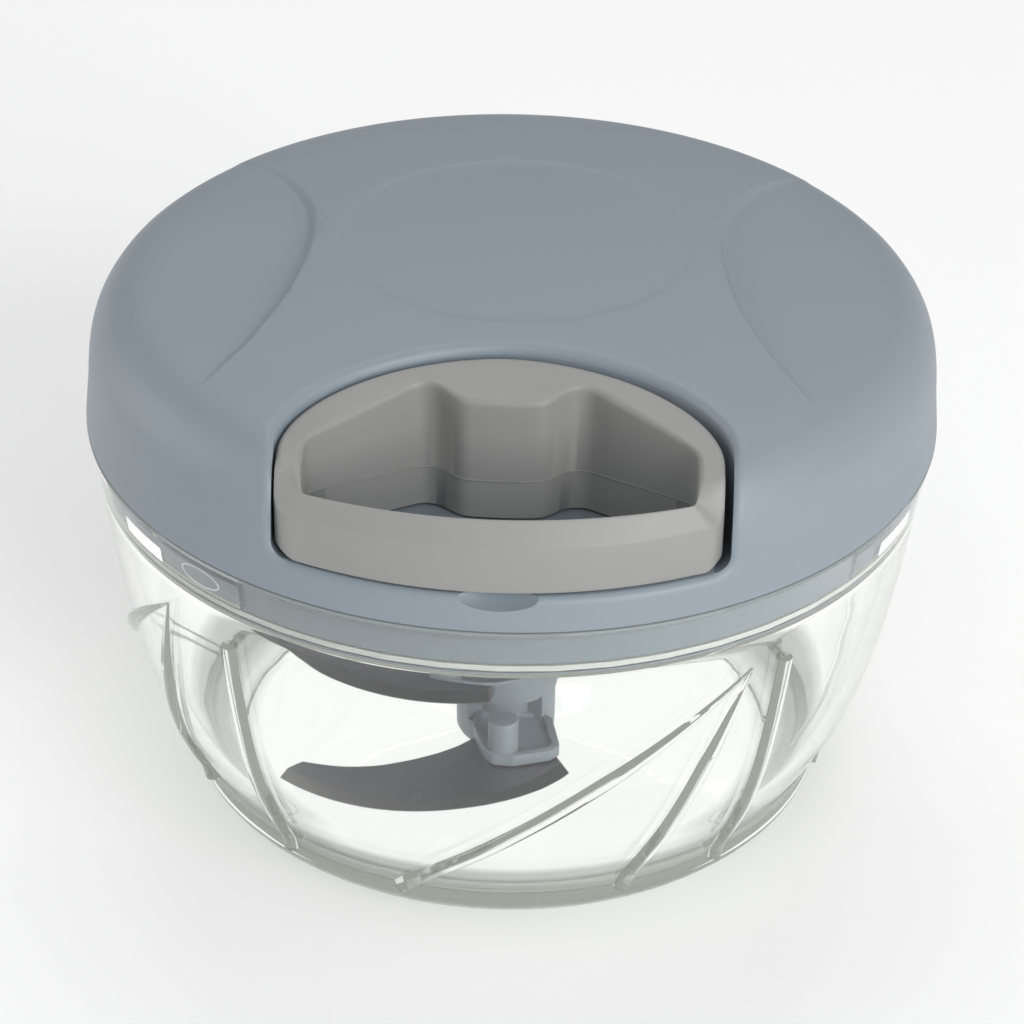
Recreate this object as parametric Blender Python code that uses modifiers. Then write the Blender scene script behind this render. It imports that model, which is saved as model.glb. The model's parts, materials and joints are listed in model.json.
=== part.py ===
# A small pull-cord food chopper, built as the pieces it comes apart into.
#
# Frame: metres, +Z up, the origin at the bottom centre of the bowl, and the pull
# handle towards -Y. Azimuths are counted anticlockwise from +X, seen from above.

import math

import bmesh
import bpy
from mathutils import Matrix, Vector

# Clearances
FIT_GAP = 0.0003          # between pieces that touch
TURN_GAP = 0.0004         # round a post that something turns on
OVERRUN = 0.004           # how far a cutter passes through what it cuts
TURN_WELD = 0.00005       # points of a turned piece that are nearer than this are one
CURVE_WELD = 0.000001

# Turned facets
LARGE_STEPS = 48
HUB_STEPS = 32
SMALL_STEPS = 16

# Bowl
RIM_RADIUS = 0.0625
BOWL_HEIGHT = 0.0601
BOWL_WALL = 0.0023
FLOOR_TOP = 0.0026
FOOT_RECESS = 0.0006
FOOT_RING = 0.00275       # width of the ring that the bowl stands on
FOOT_RECESS_SLOPE = 0.0006
RIM_CHAMFER = 0.0004
FLOOR_ROUND = 0.00625     # from the foot's edge in to where the flat floor begins
PIN_RADIUS = 0.0025
PIN_HEIGHT = 0.0108
PIN_TIP = 0.0009
# The outside of the bowl from rim to foot, as shares of the rim radius and the height
BOWL_OUTSIDE_SHARES = (
    (0.981, 0.899), (0.966, 0.799), (0.950, 0.682), (0.928, 0.549), (0.899, 0.416),
    (0.862, 0.300), (0.818, 0.200), (0.784, 0.133), (0.770, 0.085), (0.766, 0.050),
    (0.736, 0.016), (0.700, 0.0),
)
FOOT_RADIUS = RIM_RADIUS * BOWL_OUTSIDE_SHARES[-1][0]
FOOT_RECESS_RADIUS = FOOT_RADIUS - FOOT_RING
FLOOR_FLAT_RADIUS = FOOT_RADIUS - FLOOR_ROUND
WALL_POINTS = 7           # how many of those points have the inside wall behind them
# The fillet between floor and wall, as shares of its width and its height
FILLET_SHARES = ((0.42, 0.12), (0.76, 0.42))

# Seat of the lid in the rim, and the bayonet that locks it
RIM_LIP = 0.0026
SEAT_RADIUS = RIM_RADIUS - RIM_LIP
SEAT_DEPTH = 0.0085
LUG_AZIMUTHS = (223, 343, 103)
LUG_HALF_ANGLE = 7.6
LUG_HEIGHT = 0.0036
LUG_REACH = 0.0012
LUG_BELOW_RIM = 0.0055    # from the rim down to the lug's lower side
LOCK_TURN = 14
SLOT_MARGIN_ANGLE = 0.7

# Ribs on the outside of the bowl
RIB_WIDTH = 0.0026
RIB_HEIGHT = 0.0009
RIB_ROOT = 0.0008
RIB_CROWN_SHARE = 0.45
RIB_TIP_SHARE = 0.35
RIB_FOOT_LEVEL = 0.0050
STRAIGHT_RIB_DROP = 0.0139
LEAF_TIP_DROP = 0.0133
STRAIGHT_RIB_TOP = BOWL_HEIGHT - STRAIGHT_RIB_DROP
LEAF_TIP_LEVEL = BOWL_HEIGHT - LEAF_TIP_DROP
STRAIGHT_RIB_AZIMUTHS = (231.2, 311.2, 51.2, 131.2)
LEAF_TIP_AZIMUTHS = (305.6, 218.4, 125.6, 38.4)
LEAF_LONG_SWEEP = 52.3
LEAF_SHORT_SWEEP = 13.6
RIB_STATIONS = 9

# Lid
LID_HEIGHT = 0.0226       # from the lid's lower edge to the top of the dome
LID_WALL = 0.0022
LID_SEAT_GAP = 0.0003
LID_BOTTOM = BOWL_HEIGHT + LID_SEAT_GAP
LID_TOP = LID_BOTTOM + LID_HEIGHT
# The outside of the lid from the top centre down, as shares of the radius and the height
LID_OUTSIDE_SHARES = (
    (0.0, 1.0), (0.352, 0.978), (0.560, 0.947), (0.720, 0.916), (0.832, 0.885),
    (0.893, 0.845), (0.930, 0.779), (0.955, 0.699), (0.974, 0.602), (0.984, 0.496),
    (0.989, 0.381), (0.992, 0.248), (1.0, 0.0),
)
# Finger scoops at the sides of the dome
SCOOP_REACH = 0.0308      # from the axis to the inner end of the scoop
SCOOP_BACK = 0.0110       # that end lies this far behind the axis
SCOOP_FRONT_RADIUS = 0.0890
SCOOP_BACK_RADIUS = 0.0315
SCOOP_FRONT_ANGLE = 40
SCOOP_BACK_ANGLE = 80
SCOOP_DEPTH = 0.0013
SCOOP_MARGIN = 0.0080
SCOOP_END_RADIUS = RIM_RADIUS - SCOOP_MARGIN
SCOOP_POINTS = 13

# Inner cover, the plug under the lid
COVER_GAP = 0.0004
COVER_SKIRT = 0.0021
COVER_RISE = 0.0002       # how far its skirt stands above the bowl's rim
COVER_PLATE = 0.0018
COVER_PLATE_RISE = 0.0045
SEAL_GROOVE_RISE = 0.0004
SEAL_GROOVE_HEIGHT = 0.0015
SEAL_GROOVE_DEPTH = 0.0013
BEARING_WALL = 0.0028
BEARING_RISE = 0.0012
BEARING_DROP = 0.0010
SHAFT_RADIUS = 0.0069
COVER_RADIUS = SEAT_RADIUS - COVER_GAP
COVER_TOP = BOWL_HEIGHT + COVER_RISE
COVER_BOTTOM = BOWL_HEIGHT - SEAT_DEPTH + FIT_GAP
COVER_PLATE_TOP = COVER_BOTTOM + COVER_PLATE_RISE
SEAL_GROOVE_BOTTOM = COVER_BOTTOM + SEAL_GROOVE_RISE
BEARING_RADIUS = SHAFT_RADIUS + FIT_GAP + BEARING_WALL
BEARING_TOP = COVER_PLATE_TOP + BEARING_RISE
BEARING_BOTTOM = COVER_PLATE_TOP - COVER_PLATE - BEARING_DROP

# Screws that hold the inner cover to the lid
SCREW_AZIMUTHS = (355, 55, 125, 185)
SCREW_INSET = 0.0105
SCREW_CIRCLE = COVER_RADIUS - SCREW_INSET
SCREW_HEAD_RADIUS = 0.0028
SCREW_HEAD = 0.0014
SCREW_RADIUS = 0.0013
SCREW_LENGTH = 0.0110
SCREW_TIP_SHARE = 0.6
SCREW_CROWN_SHARE = 0.7
BOSS_RADIUS = 0.0032

# Reel and its axle, stacked from the bearing up to the spring cup under the dome
CUP_WALL = 0.0013
CUP_HEAD_GAP = 0.0008
CUP_RIM_GAP = 0.0004
CUP_DOME_GAP = 0.0009
SPIGOT_RADIUS = 0.0050
SPIGOT_HEIGHT = 0.0050
FLANGE = 0.0015
FLANGE_RADIUS = 0.0195
FLANGE_REACH = 0.0048
SHAFT_SHOULDER_RADIUS = 0.0090
SHAFT_SHOULDER_HEIGHT = 0.0036
SHAFT_BORE = 0.0050
REEL_FOOT_GAP = 0.0006
CUP_TOP = LID_TOP - LID_WALL - CUP_DOME_GAP
REEL_SHOULDER_BOTTOM = BEARING_TOP + REEL_FOOT_GAP
DRUM_RADIUS = FLANGE_RADIUS - FLANGE_REACH
DRUM_BOTTOM = REEL_SHOULDER_BOTTOM + SHAFT_SHOULDER_HEIGHT + FLANGE
DRUM_TOP = CUP_TOP - CUP_WALL - CUP_HEAD_GAP - SPIGOT_HEIGHT - FLANGE
POST_RADIUS = 0.0034
POST_RECESS = 0.0029      # how far its end stands above the drum's lower flange
POST_BOTTOM = DRUM_BOTTOM + POST_RECESS
POST_HOLE_DEPTH = 0.0100
POST_TWIST_ANGLE = 4      # keeps the post's corners off those of the dome
AXLE_WASHER_RADIUS = 0.0046
AXLE_WASHER = 0.0007
AXLE_HEAD_RADIUS = 0.0034
AXLE_HEAD = 0.0020
AXLE_RADIUS = 0.0013
AXLE_LENGTH = 0.0085

# Drive dogs under the reel, and the socket of the hub that they turn
DOG_DROP = 0.0011         # from the inner cover's lower edge down to the dogs
DOG_HEIGHT = 0.0043
DOG_GAP = 0.0004
DOG_BODY_RADIUS = 0.0058
DOG_HALF_ANGLE = 15
DOG_AZIMUTH = 148
SOCKET_GAP = 0.0008
SOCKET_WALL = 0.0019
SOCKET_FLOOR_GAP = 0.0010
SOCKET_HEAD_GAP = 0.0016
SOCKET_FLOOR_WALL = 0.0045
DOG_TOP = COVER_BOTTOM - DOG_DROP
DOG_BOTTOM = DOG_TOP - DOG_HEIGHT
HUB_SOCKET_BORE = SHAFT_RADIUS + SOCKET_GAP
HUB_SOCKET_RADIUS = HUB_SOCKET_BORE + SOCKET_WALL
HUB_SOCKET_FLOOR = DOG_BOTTOM - SOCKET_FLOOR_GAP
HUB_TOP = BEARING_BOTTOM - SOCKET_HEAD_GAP
DOG_RADIUS = HUB_SOCKET_BORE - DOG_GAP

# Cord
CORD_RADIUS = 0.0007
CORD_TURNS = 3
CORD_TOP_GAP = 0.0006     # from the drum's upper flange down to the last turn
CORD_LEVEL = DRUM_TOP - CORD_TOP_GAP - CORD_RADIUS    # where the cord leaves the reel
CORD_PITCH = (CORD_LEVEL - CORD_RADIUS - FIT_GAP - DRUM_BOTTOM) / CORD_TURNS
CORD_PATH_RADIUS = DRUM_RADIUS + FIT_GAP + CORD_RADIUS
TURN_POINTS = 24
CORD_SIDES_RESOLUTION = 1
LEAD_BEND_SHARE = 0.4     # of the way through the pocket's wall to the eyelet's mouth
EYELET_RADIUS = 0.0024
EYELET_FLANGE_RADIUS = 0.0034
EYELET_FLANGE = 0.0004
KNOT_RADIUS = 0.0023
KNOT_SWELL_SHARE = 0.1
KNOT_WALL = 0.0024
KNOT_CHAMBER_HALF_WIDTH = 0.0030
KNOT_CHAMBER_DEPTH = 0.0061
KNOT_CHAMBER_RISE = 0.0035

# Pocket for the handle, whose back wall clears the reel
PULL_TILT = 9.0           # the pull rises by this angle over the sill
POCKET_CLEARANCE = 0.0008
POCKET_WALL = 0.0019
POCKET_FLOOR_WALL = 0.0016
REEL_SIDE_GAP = 0.0020
SILL_RISE = 0.0048
NOTCH_RADIUS = 0.0056
NOTCH_DEPTH = 0.0024
POCKET_BACK = FLANGE_RADIUS + REEL_SIDE_GAP + POCKET_WALL
SILL_HEIGHT = LID_BOTTOM + SILL_RISE      # the pocket floor at the lid's front

# Pull handle, its outline seen from above
HANDLE_HALF_WIDTH = 0.0303
HANDLE_CORNER = 0.00314
HANDLE_SIDE = 0.0059      # straight stretch between the corner and the bow of the back
HANDLE_SETBACK = 0.0011   # from the lid's front back to the handle's
HANDLE_ARCH_POWER = 1.8
HANDLE_ARCH_POINTS = 17
NOSE_POINTS = 15
NOSE_OVERRUN_POINTS = 4
HANDLE_BACK = POCKET_BACK + POCKET_CLEARANCE
HANDLE_FRONT_RADIUS = RIM_RADIUS - HANDLE_SETBACK
NOSE_HALF_ANGLE = math.degrees(math.asin((HANDLE_HALF_WIDTH - HANDLE_CORNER) / HANDLE_FRONT_RADIUS))
NOSE_END = HANDLE_FRONT_RADIUS * math.cos(math.radians(NOSE_HALF_ANGLE))
HANDLE_SHOULDER = NOSE_END - HANDLE_CORNER - HANDLE_SIDE
HANDLE_SINK = 0.0019      # from the top of the dome down to the handle's back edge
HANDLE_TOP_TILT = 7.0
HANDLE_EDGE = 0.0009
CHAMFER_LIFT = 0.0076     # from the sill up to where the front chamfer begins
CHAMFER_RISE = 0.0060
CHAMFER_RUN = 0.0051
HANDLE_TOP_BACK = LID_TOP - HANDLE_SINK
CHAMFER_FOOT = SILL_HEIGHT + CHAMFER_LIFT
GRIP_SIDE_WALL = 0.0042
GRIP_SIDE_BAR = 0.0073
GRIP_BACK_BAR = 0.0068
GRIP_FRONT_BAR = 0.0027
GRIP_BOW = 0.0050
GRIP_WAVE = 0.0045
GRIP_PEAK_HALF = 0.0104
GRIP_POINTS = 10
GRIP_HALF_WIDTH = HANDLE_HALF_WIDTH - GRIP_SIDE_WALL
GRIP_PEAK_BACK = HANDLE_BACK + GRIP_BACK_BAR
GRIP_BUMP_FRONT = GRIP_PEAK_BACK + GRIP_WAVE
GRIP_FRONT = HANDLE_FRONT_RADIUS - GRIP_FRONT_BAR
GRIP_SIDE_FRONT = GRIP_FRONT - GRIP_BOW

# Recoil spring and its cup
CUP_SETBACK = 0.0015      # from the reel's flange in to the cup's wall
SPRING_INNER_GAP = 0.0008
SPRING_OUTER_GAP = 0.0007
CUP_RADIUS = FLANGE_RADIUS - CUP_SETBACK
SPRING_INNER_RADIUS = SPIGOT_RADIUS + SPRING_INNER_GAP
SPRING_OUTER_RADIUS = CUP_RADIUS - CUP_WALL - SPRING_OUTER_GAP
SPRING_TURNS = 6
SPRING_HEIGHT = 0.0040
SPRING_THICKNESS = 0.0004

# Blades and their hub
HUB_RADIUS = 0.0076
HUB_SOCKET_CONE = 0.0030
HUB_LIP = 0.0004
KEY_HALF_ANGLE = 15
BLADE_FOOT_GAP = 0.0012   # from the hub's lower end up to the lowest blade
BLADE_HEADROOM = 0.0069   # from the highest blade up to the socket's cone
BLADE_MARGIN = 0.00325    # from the blades' tips out to the wall at the foot
HUB_BOTTOM = FLOOR_TOP + FIT_GAP
HUB_NECK_TOP = HUB_SOCKET_FLOOR - SOCKET_FLOOR_WALL
KEY_BORE = DOG_BODY_RADIUS + DOG_GAP
BLADE_LOWEST = HUB_BOTTOM + BLADE_FOOT_GAP
BLADE_HIGHEST = HUB_NECK_TOP - BLADE_HEADROOM
BLADE_REACH = FOOT_RADIUS - BOWL_WALL - BLADE_MARGIN
BLADE_LEVELS = (BLADE_LOWEST, (BLADE_LOWEST + BLADE_HIGHEST) / 2, BLADE_HIGHEST)
BLADE_TURNS = (0, -40, -165)
BLADE_NAMES = ("bottom", "middle", "top")
BLADE_THICKNESS = 0.0010
BLADE_EDGE = 0.0002
BLADE_BEVEL = 0.0016
# A blade's two arcs and its heel, as shares of its reach: radius, then centre x and y
BLADE_OUTER_SHARES = (0.7984, -0.3613, 0.1126)
BLADE_INNER_SHARES = (0.7016, -0.6335, 0.2749)
BLADE_HEEL_SHARES = (0.1623, -0.1885)
BLADE_OUTER_ANGLES = (231, 321)
BLADE_INNER_ANGLES = (318, 258)
BLADE_ARC_POINTS = 12
HUB_SEAT_FRONT = 0.0058   # how far in front of the axis the blades' slots end
RIVET_DISTANCE = 0.0132
RIVET_RADIUS = 0.0011
RIVET_HEAD_RADIUS = 0.0022
RIVET_HEAD = 0.0008
RIVET_LENGTH = 0.0060
# The foot over a blade's root, seen from above, and the smaller sink in its top
LOBE_OUTLINE = (
    (0.0052, -0.0030), (-0.0046, -0.0030), (-0.0048, -0.0078), (-0.0030, -0.0136),
    (-0.0020, -0.0150), (-0.0004, -0.0157), (0.0016, -0.0156), (0.0072, -0.0139),
    (0.0083, -0.0128), (0.0086, -0.0112), (0.0072, -0.0050),
)
SINK_OUTLINE = (
    (0.0044, -0.0040), (-0.0034, -0.0040), (-0.0036, -0.0078), (-0.0019, -0.0132),
    (-0.0010, -0.0142), (0.0010, -0.0144), (0.0067, -0.0127), (0.0073, -0.0114),
    (0.0060, -0.0050),
)
LOBE_THICKNESS = 0.0020
LOBE_SINK = 0.0009
WINDOW_CORE = 0.0046      # radius of the hub that is left behind the windows
WINDOW_HALF_ANGLE = 48
WINDOW_HEIGHT = 0.0042
STUD_RADIUS = 0.0023
STUD_HEIGHT = 0.0052

LUG_BOTTOM = BOWL_HEIGHT - LUG_BELOW_RIM
FRONT_REACH = RIM_RADIUS + OVERRUN
HANDLE_HEIGHT_LIMIT = LID_TOP + OVERRUN


def clear_scene():
    for old in list(bpy.data.objects):
        bpy.data.objects.remove(old, do_unlink=True)


def collection(name):
    made = bpy.data.collections.new(name)
    bpy.context.scene.collection.children.link(made)
    return made


def material(name, colour, roughness, metallic=0.0, transmission=0.0):
    made = bpy.data.materials.new(name)
    made.use_nodes = True
    shader = made.node_tree.nodes["Principled BSDF"]
    shader.inputs["Base Color"].default_value = (*colour, 1.0)
    shader.inputs["Roughness"].default_value = roughness
    shader.inputs["Metallic"].default_value = metallic
    shader.inputs["Transmission Weight"].default_value = transmission
    made.diffuse_color = (*colour, 1.0)
    return made


def piece(name, mesh, finish=None):
    """Put a mesh in the scene: with a finish it is a part, without one a cutter."""
    made = bpy.data.objects.new(name, mesh)
    if finish is None:
        CUTTERS.objects.link(made)
        made.hide_render = True
        made.display_type = 'WIRE'
    else:
        PARTS.objects.link(made)
        mesh.materials.append(finish)
    return made


def polar(radius, azimuth, centre=(0.0, 0.0)):
    angle = math.radians(azimuth)
    return (centre[0] + radius * math.cos(angle), centre[1] + radius * math.sin(angle))


def arc(radius, first, last, count, centre=(0.0, 0.0)):
    """Points of an arc from one azimuth to another, both ends included."""
    return [polar(radius, first + (last - first) * i / (count - 1), centre) for i in range(count)]


def bend(start, corner, end, count):
    """Points of a soft corner, without its two end points."""
    points = []
    for i in range(1, count + 1):
        t = i / (count + 1)
        points.append(tuple(
            a * (1 - t) ** 2 + 2 * b * t * (1 - t) + c * t ** 2
            for a, b, c in zip(start, corner, end)))
    return points


def inset(outline, distance):
    """Move an outline that runs down the outer side inwards by a wall's thickness."""
    moved = []
    for i, (radius, height) in enumerate(outline):
        before = Vector(outline[max(i - 1, 0)])
        after = Vector(outline[min(i + 1, len(outline) - 1)])
        along = (after - before).normalized()
        moved.append((radius + along.y * distance, height - along.x * distance))
    return moved


def turned(name, outline, finish=None, steps=LARGE_STEPS, closed=False):
    """Turn an outline of (radius, height) about Z: down the outer side, up the inner."""
    mesh = bpy.data.meshes.new(name)
    edges = [(i, i + 1) for i in range(len(outline) - 1)]
    if closed:
        edges.append((len(outline) - 1, 0))
    mesh.from_pydata([(radius, 0.0, height) for radius, height in outline], edges, [])
    made = piece(name, mesh, finish)
    screw = made.modifiers.new("Turn", 'SCREW')
    screw.axis = 'Z'
    screw.steps = screw.render_steps = steps
    screw.use_merge_vertices = True
    screw.merge_threshold = TURN_WELD
    screw.use_smooth_shade = False
    return made


def plate(name, outlines, bottom, top, finish=None):
    """A flat outline, with holes if it has more than one, between two heights.

    A height is a number, or a function that gives it from a point's y."""
    curve = bpy.data.curves.new(name, 'CURVE')
    curve.dimensions = '2D'
    curve.fill_mode = 'BOTH'
    curve.extrude = 1.0
    for outline in outlines:
        spline = curve.splines.new('POLY')
        spline.points.add(len(outline) - 1)
        for point, (x, y) in zip(spline.points, outline):
            point.co = (x, y, 0.0, 1.0)
        spline.use_cyclic_u = True
    mesh = mesh_of_curve(name, curve)
    for vertex in mesh.vertices:
        height = top if vertex.co.z > 0.0 else bottom
        vertex.co.z = height(vertex.co.y) if callable(height) else height
    return piece(name, mesh, finish)


def mesh_of_curve(name, curve):
    """A closed mesh made from a curve, its caps welded to its sides."""
    drawn = bpy.data.objects.new(name + "_curve", curve)
    bpy.context.scene.collection.objects.link(drawn)
    graph = bpy.context.evaluated_depsgraph_get()
    mesh = bpy.data.meshes.new_from_object(drawn.evaluated_get(graph))
    bpy.data.objects.remove(drawn, do_unlink=True)
    bpy.data.curves.remove(curve)
    work = bmesh.new()
    work.from_mesh(mesh)
    bmesh.ops.remove_doubles(work, verts=work.verts, dist=CURVE_WELD)
    bmesh.ops.recalc_face_normals(work, faces=work.faces)
    work.to_mesh(mesh)
    work.free()
    mesh.name = name
    mesh.materials.clear()
    return mesh


def tube(name, points, radius, finish, resolution=CORD_SIDES_RESOLUTION, half_height=0.0):
    """A wire along points, or a flat strip on edge where it has a half height."""
    curve = bpy.data.curves.new(name, 'CURVE')
    curve.dimensions = '3D'
    curve.twist_mode = 'Z_UP'
    curve.fill_mode = 'FULL'
    curve.bevel_depth = radius
    curve.bevel_resolution = resolution
    curve.extrude = half_height
    curve.use_fill_caps = True
    spline = curve.splines.new('POLY')
    spline.points.add(len(points) - 1)
    for point, place in zip(spline.points, points):
        point.co = (*place, 1.0)
    return piece(name, mesh_of_curve(name, curve), finish)


def loft(name, rings, finish=None):
    """A closed solid through rings of equally many points, each ring a face outline."""
    work = bmesh.new()
    loops = [[work.verts.new(point) for point in ring] for ring in rings]
    count = len(rings[0])
    for lower, upper in zip(loops, loops[1:]):
        for i in range(count):
            j = (i + 1) % count
            work.faces.new((lower[i], lower[j], upper[j], upper[i]))
    work.faces.new(reversed(loops[0]))
    work.faces.new(loops[-1])
    bmesh.ops.recalc_face_normals(work, faces=work.faces)
    mesh = bpy.data.meshes.new(name)
    work.to_mesh(mesh)
    work.free()
    return piece(name, mesh, finish)


def sector(name, inner, outer, bottom, top, middle, half_angle, count=7):
    """A block between two radii and two azimuths."""
    first, last = middle - half_angle, middle + half_angle
    outline = arc(outer, first, last, count) + arc(inner, last, first, count)
    return plate(name, [outline], bottom, top)


def cylinder(name, radius, bottom, top, centre=(0.0, 0.0), steps=SMALL_STEPS):
    outline = arc(radius, 0.0, 360.0 * (steps - 1) / steps, steps, centre)
    return plate(name, [outline], bottom, top)


def lying_cylinder(name, radius, back, front, height, steps=SMALL_STEPS):
    """A cylinder along Y between two distances in front of the axis."""
    start = 180.0 / steps
    outline = arc(radius, start, start + 360.0 * (steps - 1) / steps, steps)
    made = plate(name, [outline], back, front)
    made.data.transform(Matrix.Rotation(math.radians(90.0), 4, 'X'))
    made.data.transform(Matrix.Translation((0.0, 0.0, height)))
    return made


def combine(target, other, operation):
    step = target.modifiers.new(operation.title(), 'BOOLEAN')
    step.operation = operation
    step.object = other
    step.solver = 'EXACT'


def cut(target, *others):
    for other in others:
        combine(target, other, 'DIFFERENCE')


def add(target, *others):
    for other in others:
        combine(target, other, 'UNION')


def joined(name, parts):
    """One mesh from cutters that don't touch each other."""
    work = bmesh.new()
    for part in parts:
        work.from_mesh(part.data)
        bpy.data.objects.remove(part, do_unlink=True)
    mesh = bpy.data.meshes.new(name)
    work.to_mesh(mesh)
    work.free()
    return piece(name, mesh)


# Outlines that more than one piece follows

def bowl_outside():
    top = [(RIM_RADIUS - RIM_CHAMFER, BOWL_HEIGHT), (RIM_RADIUS, BOWL_HEIGHT - RIM_CHAMFER)]
    return top + [(r * RIM_RADIUS, h * BOWL_HEIGHT) for r, h in BOWL_OUTSIDE_SHARES]


def lid_outside():
    return [(r * RIM_RADIUS, LID_BOTTOM + h * LID_HEIGHT) for r, h in LID_OUTSIDE_SHARES]


def radius_at(outline, height):
    """The radius of an outline that runs downwards, at a height."""
    for (r0, h0), (r1, h1) in zip(outline, outline[1:]):
        if h1 <= height <= h0:
            return r0 + (r1 - r0) * (h0 - height) / (h0 - h1)
    return outline[-1][0]


def height_at(outline, radius):
    """The height of an outline that runs outwards, at a radius."""
    for (r0, h0), (r1, h1) in zip(outline, outline[1:]):
        if r0 <= radius <= r1:
            return h0 + (h1 - h0) * (radius - r0) / (r1 - r0)
    return outline[-1][1]


def arch(clearance, front):
    """The D outline of the handle, grown by a clearance and open at its front."""
    half = HANDLE_HALF_WIDTH + clearance
    depth = HANDLE_SHOULDER - HANDLE_BACK + clearance
    points = [(half, -front)]
    for i in range(HANDLE_ARCH_POINTS + 1):
        angle = math.pi * i / HANDLE_ARCH_POINTS
        x = math.copysign(abs(math.cos(angle)) ** (2 / HANDLE_ARCH_POWER), math.cos(angle))
        y = math.sin(angle) ** (2 / HANDLE_ARCH_POWER) if 0 < i < HANDLE_ARCH_POINTS else 0.0
        points.append((half * x, -HANDLE_SHOULDER + depth * y))
    points.append((-half, -front))
    return points


def pocket_floor(y):
    """Height of the pocket's floor, which rises forwards with the pull."""
    return SILL_HEIGHT - (RIM_RADIUS + y) * math.tan(math.radians(PULL_TILT))


def handle_bottom(y):
    return pocket_floor(y) + POCKET_CLEARANCE


def handle_top(y):
    return HANDLE_TOP_BACK + (y + HANDLE_BACK) * math.tan(math.radians(HANDLE_TOP_TILT))


def arch_back(x):
    """How far in front of the axis the bow of the handle's back is, beside its middle."""
    share = 1.0 - (abs(x) / HANDLE_HALF_WIDTH) ** HANDLE_ARCH_POWER
    return HANDLE_SHOULDER - (HANDLE_SHOULDER - HANDLE_BACK) * share ** (1 / HANDLE_ARCH_POWER)


def grip_outline():
    """The finger opening: a wavy back, straight sides and a bowed front."""
    back = []
    side_back = arch_back(GRIP_HALF_WIDTH) + GRIP_SIDE_BAR
    slope = (side_back - GRIP_PEAK_BACK) / (GRIP_HALF_WIDTH - GRIP_PEAK_HALF)
    for i in range(GRIP_POINTS + 1):
        x = GRIP_PEAK_HALF * (1 - 2 * i / GRIP_POINTS)
        swell = (1 + math.cos(math.pi * x / GRIP_PEAK_HALF)) / 2
        back.append((x, -GRIP_PEAK_BACK - (GRIP_BUMP_FRONT - GRIP_PEAK_BACK) * swell))
    sag = GRIP_FRONT - GRIP_SIDE_FRONT
    front = []
    for i in range(GRIP_POINTS + 1):
        share = 1 - 2 * i / GRIP_POINTS
        front.append((-GRIP_HALF_WIDTH * share, -GRIP_SIDE_FRONT - sag * (1 - share ** 2)))
    rise = GRIP_PEAK_HALF / 2
    peak_right = bend((GRIP_PEAK_HALF + rise, -GRIP_PEAK_BACK - slope * rise),
                      (GRIP_PEAK_HALF, -GRIP_PEAK_BACK), back[1], 3)
    peak_left = [(-x, y) for x, y in reversed(peak_right)]
    return ([(GRIP_HALF_WIDTH, -side_back)] + peak_right + back[1:-1] + peak_left
            + [(-GRIP_HALF_WIDTH, -side_back)] + front)


# Bowl

def make_rib(name, azimuth, sweep, top, taper):
    """One raised rib that runs down the wall, its azimuth falling evenly with its height."""
    outside = bowl_outside()
    rings = []
    for i in range(RIB_STATIONS):
        share = i / (RIB_STATIONS - 1)
        height = top + (RIB_FOOT_LEVEL - top) * share
        angle = math.radians(azimuth - sweep * share)
        radius = radius_at(outside, height)
        place = Vector((radius * math.cos(angle), radius * math.sin(angle), height))
        out = Vector((math.cos(angle), math.sin(angle), 0.0))
        around = Vector((-math.sin(angle), math.cos(angle), 0.0))
        turn = math.radians(sweep) * radius / (top - RIB_FOOT_LEVEL)
        across = (around + Vector((0.0, 0.0, -turn))).normalized()
        swell = 1.0
        if taper:
            swell = RIB_TIP_SHARE + (1 - RIB_TIP_SHARE) * min(1.0, 2 * share)
        half = RIB_WIDTH / 2 * swell
        crown = half * RIB_CROWN_SHARE
        rise = RIB_HEIGHT * swell
        rings.append([
            place - across * half - out * RIB_ROOT, place + across * half - out * RIB_ROOT,
            place + across * half, place + across * crown + out * rise,
            place - across * crown + out * rise, place - across * half])
    return loft(name, rings)


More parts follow.
